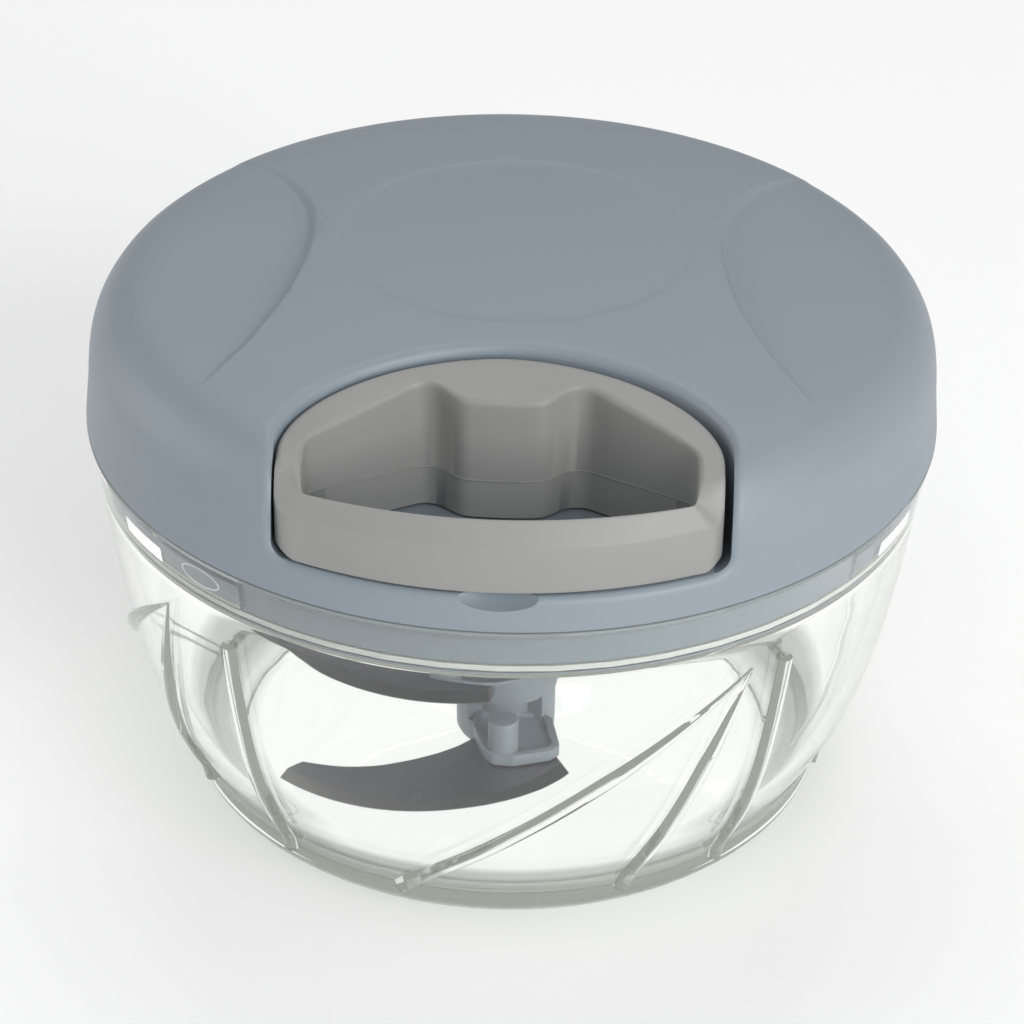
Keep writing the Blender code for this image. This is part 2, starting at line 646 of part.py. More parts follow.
def make_bowl(finish):
    outside = bowl_outside()
    wall = inset(outside, BOWL_WALL)[2:2 + WALL_POINTS]
    seat_bottom = BOWL_HEIGHT - SEAT_DEPTH
    ledge = radius_at(outside, seat_bottom) - BOWL_WALL
    wall = [point for point in wall if point[1] < seat_bottom]
    foot = wall[-1]
    width, rise = foot[0] - FLOOR_FLAT_RADIUS, foot[1] - FLOOR_TOP
    fillet = [(FLOOR_FLAT_RADIUS + w * width, FLOOR_TOP + h * rise) for w, h in FILLET_SHARES]
    pin_top = FLOOR_TOP + PIN_HEIGHT
    inside = [(0.0, pin_top), (PIN_RADIUS - PIN_TIP, pin_top), (PIN_RADIUS, pin_top - PIN_TIP),
              (PIN_RADIUS, FLOOR_TOP), (FLOOR_FLAT_RADIUS, FLOOR_TOP)]
    inside += fillet + list(reversed(wall))
    seat = [(ledge, seat_bottom), (SEAT_RADIUS, seat_bottom), (SEAT_RADIUS, BOWL_HEIGHT)]
    under = [(FOOT_RECESS_RADIUS + FOOT_RECESS_SLOPE, 0.0), (FOOT_RECESS_RADIUS, FOOT_RECESS),
             (0.0, FOOT_RECESS)]
    bowl = turned("bowl", inside + seat + outside + under, finish)

    straight, long_leaf, short_leaf = [], [], []
    for i, azimuth in enumerate(STRAIGHT_RIB_AZIMUTHS):
        straight.append(make_rib(f"straight_rib_{i}", azimuth, 0.0, STRAIGHT_RIB_TOP, False))
    for i, azimuth in enumerate(LEAF_TIP_AZIMUTHS):
        long_leaf.append(make_rib(f"long_{i}", azimuth, LEAF_LONG_SWEEP, LEAF_TIP_LEVEL, True))
        short_leaf.append(make_rib(f"short_{i}", azimuth, LEAF_SHORT_SWEEP, LEAF_TIP_LEVEL, True))
    add(bowl, joined("straight_ribs", straight), joined("long_ribs", long_leaf),
        joined("short_ribs", short_leaf))

    entries, tracks = [], []
    groove = COVER_RADIUS + LUG_REACH + FIT_GAP
    half = LUG_HALF_ANGLE + SLOT_MARGIN_ANGLE
    start = SEAT_RADIUS - OVERRUN / 2
    for i, azimuth in enumerate(LUG_AZIMUTHS):
        entries.append(sector(f"entry_{i}", start, groove, LUG_BOTTOM - FIT_GAP,
                              BOWL_HEIGHT + OVERRUN, azimuth, half))
        tracks.append(sector(f"track_{i}", start, groove, LUG_BOTTOM - FIT_GAP,
                             LUG_BOTTOM + LUG_HEIGHT + FIT_GAP,
                             azimuth - half - LOCK_TURN / 2, LOCK_TURN / 2 + SLOT_MARGIN_ANGLE))
    cut(bowl, joined("entries", entries), joined("tracks", tracks))
    return bowl


# Blades and hub

def blade_outline(bevel=0.0):
    """A crescent: the outer edge from tip to heel, then the inner edge back to the tip."""
    radius, x, y = (share * BLADE_REACH for share in BLADE_OUTER_SHARES)
    outer = arc(radius - bevel, *BLADE_OUTER_ANGLES, BLADE_ARC_POINTS, (x, y))
    radius, x, y = (share * BLADE_REACH for share in BLADE_INNER_SHARES)
    inner = arc(radius, *BLADE_INNER_ANGLES, BLADE_ARC_POINTS, (x, y))
    heel = tuple(share * BLADE_REACH for share in BLADE_HEEL_SHARES)
    return outer + [heel] + inner


def laid_down(made):
    """Lay a turned piece down along the cord, half a facet on so that no edge is on top."""
    made.data.transform(Matrix.Rotation(math.radians(180.0 / SMALL_STEPS), 4, 'Z'))
    made.rotation_euler = (math.radians(90.0), 0.0, 0.0)
    made.location = (0.0, 0.0, CORD_LEVEL)
    return made


def turned_about_z(made, azimuth):
    made.data.transform(Matrix.Rotation(math.radians(azimuth), 4, 'Z'))
    return made


def make_blade(name, level, turn, finish):
    bottom, top = blade_outline(), blade_outline(BLADE_BEVEL)
    rings = [[(x, y, level) for x, y in bottom],
             [(x, y, level + BLADE_EDGE) for x, y in bottom],
             [(x, y, level + BLADE_THICKNESS) for x, y in top]]
    blade = turned_about_z(loft(name, rings, finish), turn)
    hole = cylinder(name + "_hole", RIVET_RADIUS + FIT_GAP, level - OVERRUN,
                    level + BLADE_THICKNESS + OVERRUN, (0.0, -RIVET_DISTANCE))
    cut(blade, turned_about_z(hole, turn))
    return blade


def make_rivet(name, level, turn, finish):
    bottom = level - FIT_GAP - RIVET_HEAD
    outline = [(0.0, level + RIVET_LENGTH), (RIVET_RADIUS, level + RIVET_LENGTH),
               (RIVET_RADIUS, level - FIT_GAP), (RIVET_HEAD_RADIUS, level - FIT_GAP),
               (RIVET_HEAD_RADIUS - HUB_LIP, bottom), (0.0, bottom)]
    rivet = turned(name, outline, finish, steps=SMALL_STEPS // 2)
    rivet.location = (*polar(RIVET_DISTANCE, turn - 90.0), 0.0)
    return rivet


def make_lobe(name, level, turn):
    """Cutters for a blade's foot: its body, its sink, its windows, its stud and the hole."""
    bottom = level + BLADE_THICKNESS + FIT_GAP
    top = bottom + LOBE_THICKNESS
    body = plate(name, [LOBE_OUTLINE], bottom, top)
    sink = plate(name + "_sink", [SINK_OUTLINE], top - LOBE_SINK, top + BLADE_EDGE)
    window = sector(name + "_window", WINDOW_CORE, HUB_RADIUS + OVERRUN, top - LOBE_SINK,
                    top + WINDOW_HEIGHT, 270.0, WINDOW_HALF_ANGLE)
    stud = cylinder(name + "_stud", STUD_RADIUS, bottom + BLADE_EDGE, top + STUD_HEIGHT,
                    (0.0, -RIVET_DISTANCE))
    hole = cylinder(name + "_hole", RIVET_RADIUS + FIT_GAP, bottom - OVERRUN,
                    level + RIVET_LENGTH + FIT_GAP, (0.0, -RIVET_DISTANCE), SMALL_STEPS // 2)
    cut(body, sink)
    for made in (body, sink, window, stud, hole):
        turned_about_z(made, turn)
    return body, window, stud, hole


def make_hub(finish):
    outline = [
        (0.0, HUB_SOCKET_FLOOR), (HUB_SOCKET_BORE, HUB_SOCKET_FLOOR),
        (HUB_SOCKET_BORE, HUB_TOP), (HUB_SOCKET_RADIUS - HUB_LIP, HUB_TOP),
        (HUB_SOCKET_RADIUS, HUB_TOP - HUB_LIP),
        (HUB_SOCKET_RADIUS, HUB_NECK_TOP + HUB_SOCKET_CONE), (HUB_RADIUS, HUB_NECK_TOP),
        (HUB_RADIUS, HUB_BOTTOM), (0.0, HUB_BOTTOM)]
    hub = turned("blade_hub", outline, finish, steps=HUB_STEPS)
    for i, (level, turn) in enumerate(zip(BLADE_LEVELS, BLADE_TURNS)):
        body, window, stud, hole = make_lobe(f"lobe_{i}", level, turn)
        cut(hub, window)
        add(hub, body, stud)
        cut(hub, hole)
        side, front = HUB_RADIUS * 2, HUB_RADIUS * 3
        slot = plate(f"slot_{i}", [[(-side, -HUB_SEAT_FRONT), (-side, -front), (side, -front),
                                    (side, -HUB_SEAT_FRONT)]],
                     level - FIT_GAP, level + BLADE_THICKNESS + FIT_GAP)
        cut(hub, turned_about_z(slot, turn))
    bore_top = FLOOR_TOP + PIN_HEIGHT + TURN_GAP
    cut(hub, turned("pin_bore", [
        (0.0, bore_top + PIN_TIP), (PIN_RADIUS + TURN_GAP, bore_top),
        (PIN_RADIUS + TURN_GAP, HUB_BOTTOM - OVERRUN), (0.0, HUB_BOTTOM - OVERRUN)],
        steps=SMALL_STEPS))
    for i in range(2):
        key = sector(f"key_{i}", KEY_BORE, HUB_SOCKET_BORE + HUB_LIP,
                     HUB_SOCKET_FLOOR - HUB_LIP, DOG_TOP, 180.0 * i, KEY_HALF_ANGLE)
        add(hub, key)
    return hub


# Lid

def make_scoop(name, side, grow):
    """A cutter for one finger scoop: deep at its inner end, running out at its rim.

    It is grown by a wall's thickness for the hollow under the scoop."""
    outline = lid_outside()
    deep = height_at(outline, SCOOP_REACH) - SCOOP_DEPTH - grow
    shallow = height_at(outline, SCOOP_END_RADIUS) - grow
    above = HANDLE_HEIGHT_LIMIT
    inner = SCOOP_REACH - OVERRUN
    slope = (deep - shallow) / (SCOOP_END_RADIUS - SCOOP_REACH)
    ring = turned(name + "_ring", [
        (FRONT_REACH, above), (FRONT_REACH, shallow), (SCOOP_END_RADIUS, shallow),
        (inner, deep + slope * OVERRUN), (inner, above)], closed=True)
    outline = []
    for radius, first, last in (
            (SCOOP_FRONT_RADIUS, 180.0 + SCOOP_FRONT_ANGLE, 180.0),
            (SCOOP_BACK_RADIUS, 180.0, 180.0 - SCOOP_BACK_ANGLE)):
        centre = (SCOOP_REACH + radius, SCOOP_BACK)
        outline += arc(radius + grow, first, last, SCOOP_POINTS, centre)[:SCOOP_POINTS - 1]
    outline.append(polar(SCOOP_BACK_RADIUS + grow, 180.0 - SCOOP_BACK_ANGLE, centre))
    outline = [(side * x, y) for x, y in outline]
    edge = plate(name, [outline], LID_BOTTOM, above + OVERRUN)
    combine(edge, ring, 'INTERSECT')
    return edge


def make_lid_shell(finish):
    outside = lid_outside()
    under = COVER_PLATE_TOP + FIT_GAP
    solid = outside + [(COVER_RADIUS + FIT_GAP, LID_BOTTOM),
                       (COVER_RADIUS - FIT_GAP, under), (0.0, under)]
    shell = turned("lid_shell", solid, finish)

    inner = inset(outside, LID_WALL)
    inner[0] = (0.0, outside[0][1] - LID_WALL)
    inner = [point for point in inner if point[0] < COVER_RADIUS + FIT_GAP]
    inner = inner[:-1] + [(COVER_RADIUS + FIT_GAP, inner[-1][1]),
                          (COVER_RADIUS + FIT_GAP, under - OVERRUN), (0.0, under - OVERRUN)]
    core = turned("lid_core", inner)
    tub = plate("pocket_tub", [arch(POCKET_CLEARANCE + POCKET_WALL, FRONT_REACH)],
                lambda y: pocket_floor(y) - POCKET_FLOOR_WALL, HANDLE_HEIGHT_LIMIT)
    cut(core, tub, make_scoop("under_left", -1, LID_WALL), make_scoop("under_right", 1, LID_WALL))
    for i, azimuth in enumerate(SCREW_AZIMUTHS):
        cut(core, cylinder(f"boss_{i}", BOSS_RADIUS, under - OVERRUN * 2, HANDLE_HEIGHT_LIMIT,
                           polar(SCREW_CIRCLE, azimuth)))
    post = cylinder("axle_post", POST_RADIUS, POST_BOTTOM, HANDLE_HEIGHT_LIMIT)
    cut(core, turned_about_z(post, POST_TWIST_ANGLE))
    cut(shell, core)

    pocket = plate("pocket", [arch(POCKET_CLEARANCE, FRONT_REACH)], pocket_floor,
                   HANDLE_HEIGHT_LIMIT)
    notch = lying_cylinder("finger_notch", NOTCH_RADIUS, COVER_RADIUS + FIT_GAP * 2, FRONT_REACH,
                           SILL_HEIGHT - NOTCH_DEPTH + NOTCH_RADIUS)
    hole, seat = EYELET_RADIUS + FIT_GAP, EYELET_FLANGE_RADIUS + FIT_GAP
    back, front = POCKET_BACK - OVERRUN, POCKET_BACK + OVERRUN
    ledge = POCKET_BACK - FIT_GAP
    eyelet_hole = laid_down(turned("eyelet_hole", [
        (0.0, front), (seat, front), (seat, ledge), (hole, ledge), (hole, back), (0.0, back)],
        steps=SMALL_STEPS))
    cut(shell, pocket, notch, eyelet_hole)
    cut(shell, make_scoop("scoop_left", -1, 0.0), make_scoop("scoop_right", 1, 0.0))
    for i, azimuth in enumerate(SCREW_AZIMUTHS):
        hole = cylinder(f"boss_hole_{i}", SCREW_RADIUS + FIT_GAP, under - OVERRUN,
                        under + SCREW_LENGTH, polar(SCREW_CIRCLE, azimuth), SMALL_STEPS // 2)
        cut(shell, hole)
    cut(shell, cylinder("post_hole", AXLE_RADIUS + FIT_GAP, POST_BOTTOM - OVERRUN,
                        POST_BOTTOM + POST_HOLE_DEPTH, steps=SMALL_STEPS // 2))
    return shell


def make_inner_cover(finish):
    groove_top = SEAL_GROOVE_BOTTOM + SEAL_GROOVE_HEIGHT
    groove_radius = COVER_RADIUS - SEAL_GROOVE_DEPTH
    inner_radius = COVER_RADIUS - COVER_SKIRT
    plate_bottom = COVER_PLATE_TOP - COVER_PLATE
    bore = SHAFT_RADIUS + FIT_GAP
    outline = [
        (COVER_RADIUS, COVER_TOP), (COVER_RADIUS, groove_top), (groove_radius, groove_top),
        (groove_radius, SEAL_GROOVE_BOTTOM), (COVER_RADIUS, SEAL_GROOVE_BOTTOM),
        (COVER_RADIUS, COVER_BOTTOM), (inner_radius, COVER_BOTTOM),
        (inner_radius, plate_bottom), (BEARING_RADIUS, plate_bottom),
        (BEARING_RADIUS, BEARING_BOTTOM), (bore, BEARING_BOTTOM), (bore, BEARING_TOP),
        (BEARING_RADIUS, BEARING_TOP), (BEARING_RADIUS, COVER_PLATE_TOP),
        (inner_radius, COVER_PLATE_TOP), (inner_radius, COVER_TOP)]
    cover = turned("inner_cover", outline, finish, closed=True)
    for i, azimuth in enumerate(LUG_AZIMUTHS):
        add(cover, sector(f"lug_{i}", inner_radius + COVER_SKIRT / 2, COVER_RADIUS + LUG_REACH,
                          LUG_BOTTOM, LUG_BOTTOM + LUG_HEIGHT, azimuth, LUG_HALF_ANGLE))
    for i, azimuth in enumerate(SCREW_AZIMUTHS):
        place = polar(SCREW_CIRCLE, azimuth)
        hole = cylinder(f"cover_hole_{i}", SCREW_RADIUS + FIT_GAP, plate_bottom - OVERRUN,
                        COVER_PLATE_TOP + OVERRUN, place, SMALL_STEPS // 2)
        cut(cover, hole)
    return cover


def make_screw(name, radius, head_radius, head, length, head_top, finish, steps=SMALL_STEPS // 2):
    """A screw driven from below: its head, then its shank above."""
    outline = [(0.0, head_top + length), (radius * SCREW_TIP_SHARE, head_top + length),
               (radius, head_top + length - radius), (radius, head_top), (head_radius, head_top),
               (head_radius, head_top - head / 2), (head_radius * SCREW_CROWN_SHARE, head_top - head),
               (0.0, head_top - head)]
    return turned(name, outline, finish, steps=steps)


def make_seal_ring(finish):
    inner = COVER_RADIUS - SEAL_GROOVE_DEPTH + FIT_GAP
    outer = SEAT_RADIUS - FIT_GAP
    bottom = SEAL_GROOVE_BOTTOM + FIT_GAP
    top = SEAL_GROOVE_BOTTOM + SEAL_GROOVE_HEIGHT - FIT_GAP
    return turned("seal_ring", [(outer, top), (outer, bottom), (inner, bottom), (inner, top)],
                  finish, closed=True)


# Reel, cord and spring

def make_reel(finish):
    spigot_top = DRUM_TOP + FLANGE + SPIGOT_HEIGHT
    bore = POST_RADIUS + TURN_GAP
    outline = [
        (SPIGOT_RADIUS, spigot_top), (SPIGOT_RADIUS, DRUM_TOP + FLANGE),
        (FLANGE_RADIUS, DRUM_TOP + FLANGE), (FLANGE_RADIUS, DRUM_TOP), (DRUM_RADIUS, DRUM_TOP),
        (DRUM_RADIUS, DRUM_BOTTOM), (FLANGE_RADIUS, DRUM_BOTTOM),
        (FLANGE_RADIUS, DRUM_BOTTOM - FLANGE), (SHAFT_SHOULDER_RADIUS, DRUM_BOTTOM - FLANGE),
        (SHAFT_SHOULDER_RADIUS, REEL_SHOULDER_BOTTOM), (SHAFT_RADIUS, REEL_SHOULDER_BOTTOM),
        (SHAFT_RADIUS, BEARING_BOTTOM - FIT_GAP), (DOG_BODY_RADIUS, BEARING_BOTTOM - FIT_GAP * 2),
        (DOG_BODY_RADIUS, DOG_BOTTOM), (SHAFT_BORE, DOG_BOTTOM), (SHAFT_BORE, POST_BOTTOM),
        (bore, POST_BOTTOM), (bore, spigot_top)]
    reel = turned("cord_reel", outline, finish, steps=HUB_STEPS, closed=True)
    for i in range(2):
        add(reel, sector(f"dog_{i}", (SHAFT_BORE + DOG_BODY_RADIUS) / 2, DOG_RADIUS, DOG_BOTTOM,
                         DOG_TOP, DOG_AZIMUTH + 180.0 * i, DOG_HALF_ANGLE))
    return reel


def tangent_azimuth():
    """Azimuth at which the cord leaves the drum for the eyelet."""
    reach = POCKET_BACK - POCKET_WALL
    return 270.0 - math.degrees(math.acos(CORD_PATH_RADIUS / reach))


def make_winding(finish):
    points = []
    last = tangent_azimuth()
    count = CORD_TURNS * TURN_POINTS
    for i in range(count + 1):
        azimuth = last - 360.0 * (count - i) / TURN_POINTS
        height = CORD_LEVEL - CORD_PITCH * (count - i) / TURN_POINTS
        points.append((*polar(CORD_PATH_RADIUS, azimuth), height))
    gap = 2 * CORD_PATH_RADIUS
    for i in range(len(points) - TURN_POINTS):
        step = Vector(points[i + TURN_POINTS]) - Vector(points[i])
        gap = min(gap, step.length - 2 * CORD_RADIUS)
    print("least gap between the cord's turns, mm:", round(gap * 1000, 2))
    return tube("cord_winding", points, CORD_RADIUS, finish)


def make_cord_lead(finish):
    """The straight run from the drum to the eyelet, and the bend through it."""
    start = Vector((*polar(CORD_PATH_RADIUS, tangent_azimuth()), CORD_LEVEL))
    mouth = Vector((0.0, -(POCKET_BACK - POCKET_WALL), CORD_LEVEL))
    end = Vector((0.0, -(POCKET_BACK + EYELET_FLANGE), CORD_LEVEL))
    along = (mouth - start).normalized()
    points = [start + along * FIT_GAP * 2, (start + mouth) / 2, mouth - along * CORD_RADIUS,
              mouth.lerp(end, LEAD_BEND_SHARE), end]
    return tube("cord_lead", points, CORD_RADIUS, finish)


def make_pull_cord(finish):
    """The stretch that grows out of the lid as the handle is pulled."""
    start = POCKET_BACK + EYELET_FLANGE + FIT_GAP
    end = HANDLE_BACK + KNOT_WALL + FIT_GAP
    points = [(0.0, -start, CORD_LEVEL), (0.0, -(start + end) / 2, CORD_LEVEL),
              (0.0, -end, CORD_LEVEL)]
    return tube("pull_cord", points, CORD_RADIUS, finish)


def make_knot(finish):
    mesh = bpy.data.meshes.new("cord_knot")
    work = bmesh.new()
    bmesh.ops.create_uvsphere(work, u_segments=SMALL_STEPS, v_segments=SMALL_STEPS // 2,
                              radius=KNOT_RADIUS)
    for vertex in work.verts:
        spin = math.atan2(vertex.co.y, vertex.co.x)
        vertex.co *= 1.0 + KNOT_SWELL_SHARE * math.sin(3 * spin + 2 * vertex.co.z / KNOT_RADIUS)
    work.to_mesh(mesh)
    work.free()
    centre = HANDLE_BACK + KNOT_WALL + 2 * FIT_GAP + KNOT_RADIUS * (1 + KNOT_SWELL_SHARE)
    mesh.transform(Matrix.Translation((0.0, -centre, CORD_LEVEL)))
    return piece("cord_knot", mesh, finish)


def make_eyelet(finish):
    """A flanged bush that the cord runs through, in the pocket's back wall.

    It is turned upright with its front up, and then laid down towards the front."""
    back = POCKET_BACK - POCKET_WALL
    front = POCKET_BACK + EYELET_FLANGE
    bore = CORD_RADIUS + FIT_GAP
    outline = [
        (EYELET_FLANGE_RADIUS, front), (EYELET_FLANGE_RADIUS, POCKET_BACK),
        (EYELET_RADIUS, POCKET_BACK), (EYELET_RADIUS, back), (bore, back), (bore, front)]
    return laid_down(turned("cord_eyelet", outline, finish, steps=SMALL_STEPS, closed=True))


def make_spring_cup(finish):
    bottom = DRUM_TOP + FLANGE + CUP_RIM_GAP
    hole = POST_RADIUS + FIT_GAP
    outline = [
        (CUP_RADIUS, CUP_TOP), (CUP_RADIUS, bottom), (CUP_RADIUS - CUP_WALL, bottom),
        (CUP_RADIUS - CUP_WALL, CUP_TOP - CUP_WALL), (hole, CUP_TOP - CUP_WALL), (hole, CUP_TOP)]
    return turned("spring_cup", outline, finish, steps=HUB_STEPS, closed=True)


def make_spring(finish):
    """A flat spiral that winds from the reel's spigot out to the cup's wall."""
    middle = DRUM_TOP + FLANGE + SPIGOT_HEIGHT / 2
    count = SPRING_TURNS * TURN_POINTS
    points = []
    for i in range(count + 1):
        share = i / count
        radius = SPRING_INNER_RADIUS + (SPRING_OUTER_RADIUS - SPRING_INNER_RADIUS) * share
        points.append((*polar(radius, 360.0 * i / TURN_POINTS), middle))
    pitch = (SPRING_OUTER_RADIUS - SPRING_INNER_RADIUS) / SPRING_TURNS
    print("gap between the spring's turns, mm:", round((pitch - SPRING_THICKNESS) * 1000, 2))
    half = (SPRING_HEIGHT - SPRING_THICKNESS) / 2
    return tube("recoil_spring", points, SPRING_THICKNESS / 2, finish, 0, half)


def make_washer(finish):
    top = POST_BOTTOM - FIT_GAP
    bore = AXLE_RADIUS + FIT_GAP
    outline = [(AXLE_WASHER_RADIUS, top), (AXLE_WASHER_RADIUS, top - AXLE_WASHER),
               (bore, top - AXLE_WASHER), (bore, top)]
    return turned("axle_washer", outline, finish, steps=SMALL_STEPS, closed=True)


# Handle

def make_front_chamfer():
    """A cutter for the slope along the handle's front, with the same facets as its nose."""
    front = HANDLE_FRONT_RADIUS
    drop = OVERRUN * CHAMFER_RISE / CHAMFER_RUN
    section = [
        (front + OVERRUN, CHAMFER_FOOT + CHAMFER_RISE * 2), (front + OVERRUN, CHAMFER_FOOT - drop),
        (front - CHAMFER_RUN, CHAMFER_FOOT + CHAMFER_RISE),
        (front - CHAMFER_RUN, CHAMFER_FOOT + CHAMFER_RISE * 2)]
    step = 2 * NOSE_HALF_ANGLE / (NOSE_POINTS - 1)
    first = 270.0 - NOSE_HALF_ANGLE - step * NOSE_OVERRUN_POINTS
    rings = []
    for i in range(NOSE_POINTS + 2 * NOSE_OVERRUN_POINTS):
        rings.append([(*polar(radius, first + step * i), height) for radius, height in section])
    return loft("front_chamfer", rings)


def make_handle(finish):
    half, front = HANDLE_HALF_WIDTH, HANDLE_FRONT_RADIUS
    nose = arc(front, 270.0 - NOSE_HALF_ANGLE, 270.0 + NOSE_HALF_ANGLE, NOSE_POINTS)
    corner_x, corner_y = -nose[0][0], nose[0][1]
    corner = half - corner_x
    back = arch(0.0, -corner_y - corner)
    turn_left = bend((-half, corner_y + corner), (-half, corner_y), nose[0], 3)
    turn_right = [(-x, y) for x, y in reversed(turn_left)]
    outline = back + turn_left + nose + turn_right
    handle = plate("pull_handle", [outline, grip_outline()], handle_bottom, handle_top, finish)
    bevel = handle.modifiers.new("Soft edges", 'BEVEL')
    bevel.width = HANDLE_EDGE
    bevel.segments = 2
    bevel.limit_method = 'ANGLE'
    bevel.angle_limit = math.radians(60.0)
    chamfer = make_front_chamfer()
    cut(handle, chamfer)
    chamber_back = HANDLE_BACK + KNOT_WALL
    side = KNOT_CHAMBER_HALF_WIDTH
    chamber_front = chamber_back + KNOT_CHAMBER_DEPTH
    chamber = plate("knot_chamber", [[(side, -chamber_front), (side, -chamber_back),
                                      (-side, -chamber_back), (-side, -chamber_front)]],
                    BEARING_BOTTOM, CORD_LEVEL + KNOT_CHAMBER_RISE)
    cord_hole = lying_cylinder("cord_hole", CORD_RADIUS + FIT_GAP, HANDLE_BACK - OVERRUN,
                               chamber_back + OVERRUN / 2, CORD_LEVEL)
    cut(handle, chamber, cord_hole)
    return handle


def make_materials():
    return {
        "clear": material("clear_plastic", (0.93, 0.95, 0.92), 0.05, transmission=1.0),
        "lid": material("blue_grey_plastic", (0.27, 0.33, 0.38), 0.45),
        "handle": material("warm_grey_plastic", (0.34, 0.34, 0.33), 0.42),
        "steel": material("dark_blade_steel", (0.20, 0.20, 0.22), 0.25, metallic=1.0),
        "bright": material("bright_steel", (0.62, 0.62, 0.63), 0.30, metallic=1.0),
        "white": material("white_plastic", (0.80, 0.80, 0.78), 0.40),
        "cord": material("white_cord", (0.86, 0.85, 0.82), 0.80),
        "silicone": material("clear_silicone", (0.82, 0.84, 0.82), 0.50),
    }


def build():
    finish = make_materials()
    make_bowl(finish["clear"])
    make_hub(finish["lid"])
    for name, level, turn in zip(BLADE_NAMES, BLADE_LEVELS, BLADE_TURNS):
        make_blade("blade_" + name, level, turn, finish["steel"])
        make_rivet("blade_rivet_" + name, level, turn, finish["bright"])
    make_seal_ring(finish["silicone"])
    make_lid_shell(finish["lid"])
    make_inner_cover(finish["lid"])
    head_top = COVER_PLATE_TOP - COVER_PLATE - FIT_GAP
    for i, azimuth in enumerate(SCREW_AZIMUTHS):
        screw = make_screw(f"cover_screw_{i + 1}", SCREW_RADIUS, SCREW_HEAD_RADIUS, SCREW_HEAD,
                           SCREW_LENGTH, head_top, finish["bright"])
        screw.location = (*polar(SCREW_CIRCLE, azimuth), 0.0)
    make_reel(finish["white"])
    make_winding(finish["cord"])
    make_cord_lead(finish["cord"])
    make_pull_cord(finish["cord"])
    make_knot(finish["cord"])
    make_eyelet(finish["bright"])
    make_spring_cup(finish["white"])
    make_spring(finish["bright"])
    make_washer(finish["bright"])
    make_screw("axle_screw", AXLE_RADIUS, AXLE_HEAD_RADIUS, AXLE_HEAD, AXLE_LENGTH,
               POST_BOTTOM - FIT_GAP * 2 - AXLE_WASHER, finish["bright"])
    make_handle(finish["handle"])


clear_scene()
PARTS = collection("food_chopper")
CUTTERS = collection("cutters")
build()
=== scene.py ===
# %% [markdown]
# # A food chopper with a pull cord
# The real object is a clear bowl that stands on a table, a blade hub that turns on a pin in the
# bowl's floor, and a domed lid that locks into the bowl's rim. A cord runs from a reel in the lid
# to a pull handle, which lies in a pocket at the front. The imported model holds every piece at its
# real size, so this file loads it first and then dresses it.

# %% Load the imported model
import json
import math

import bmesh
import bpy
from mathutils import Matrix, Vector


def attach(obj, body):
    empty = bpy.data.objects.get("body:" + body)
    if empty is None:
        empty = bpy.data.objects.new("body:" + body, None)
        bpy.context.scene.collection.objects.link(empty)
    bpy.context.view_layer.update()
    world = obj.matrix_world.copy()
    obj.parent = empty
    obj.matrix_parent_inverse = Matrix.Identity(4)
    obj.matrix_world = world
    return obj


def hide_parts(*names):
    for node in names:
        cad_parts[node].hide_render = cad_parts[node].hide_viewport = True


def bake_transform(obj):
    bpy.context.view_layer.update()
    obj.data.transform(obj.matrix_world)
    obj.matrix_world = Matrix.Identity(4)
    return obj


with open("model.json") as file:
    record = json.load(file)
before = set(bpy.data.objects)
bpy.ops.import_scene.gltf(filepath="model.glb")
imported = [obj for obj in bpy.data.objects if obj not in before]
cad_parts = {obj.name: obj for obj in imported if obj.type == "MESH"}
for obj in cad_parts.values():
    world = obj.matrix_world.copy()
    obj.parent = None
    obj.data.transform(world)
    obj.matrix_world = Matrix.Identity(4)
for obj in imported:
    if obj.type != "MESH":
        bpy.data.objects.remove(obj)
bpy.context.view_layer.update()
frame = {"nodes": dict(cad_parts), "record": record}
MM = 0.001

# %% [markdown]
# The photograph looks down on the chopper from the handle's side, from about a hand's length more
# than half a metre away. A long lens at that distance gives the mild perspective that the rim's
# ellipse shows. The camera's place and tilt were solved from the rim, the foot and the top.

# %% Camera
EYE = Vector((0.0, -490.5, 345.5)) * MM
AZIMUTH_DEGREES = 1.2
PITCH_DEGREES = 31.87
ROLL_DEGREES = 1.19
YAW_DEGREES = 0.04
FOCAL_PIXELS = 3843.0
PHOTO_PIXELS = 1024.0


def rotation(degrees, axis='Z', size=3):
    return Matrix.Rotation(math.radians(degrees), size, axis)


around = rotation(AZIMUTH_DEGREES)
bpy.ops.object.camera_add(location=around @ EYE)
camera = bpy.context.object
camera.name = "photo_camera"
aim = around @ rotation(-YAW_DEGREES) @ rotation(90.0 - PITCH_DEGREES, 'X') @ rotation(ROLL_DEGREES)
camera.rotation_euler = aim.to_euler()
camera.data.lens = camera.data.sensor_width * FOCAL_PIXELS / PHOTO_PIXELS
bpy.context.scene.camera = camera
print("lens in mm:", round(camera.data.lens, 1))

# %% [markdown]
# Product photographs are lit by large soft boxes in a pale room. A plain white world fills the
# shadows. The strongest lamp stands at the front right, where the photograph's faces are a
# little brighter. One on the left lifts the lid's far edge, a weak one above the camera reaches
# into the finger opening, and one above and behind lays the soft shadow in front of the foot.

# %% Room light
WORLD_LEVEL = 0.46
SOFT_BOX_SIZE = 800 * MM
AIM_POINT = Vector((0.0, 0.0, 40.0)) * MM
# The side, the place in mm and the watts of each lamp.
SOFT_BOXES = [("right", (710.0, -909.0, 506.0), 11.9), ("left", (-1150.0, 150.0, 280.0), 4.6),
              ("back", (0.0, 720.0, 1120.0), 4.0), ("top", (140.0, -790.0, 1000.0), 2.0)]

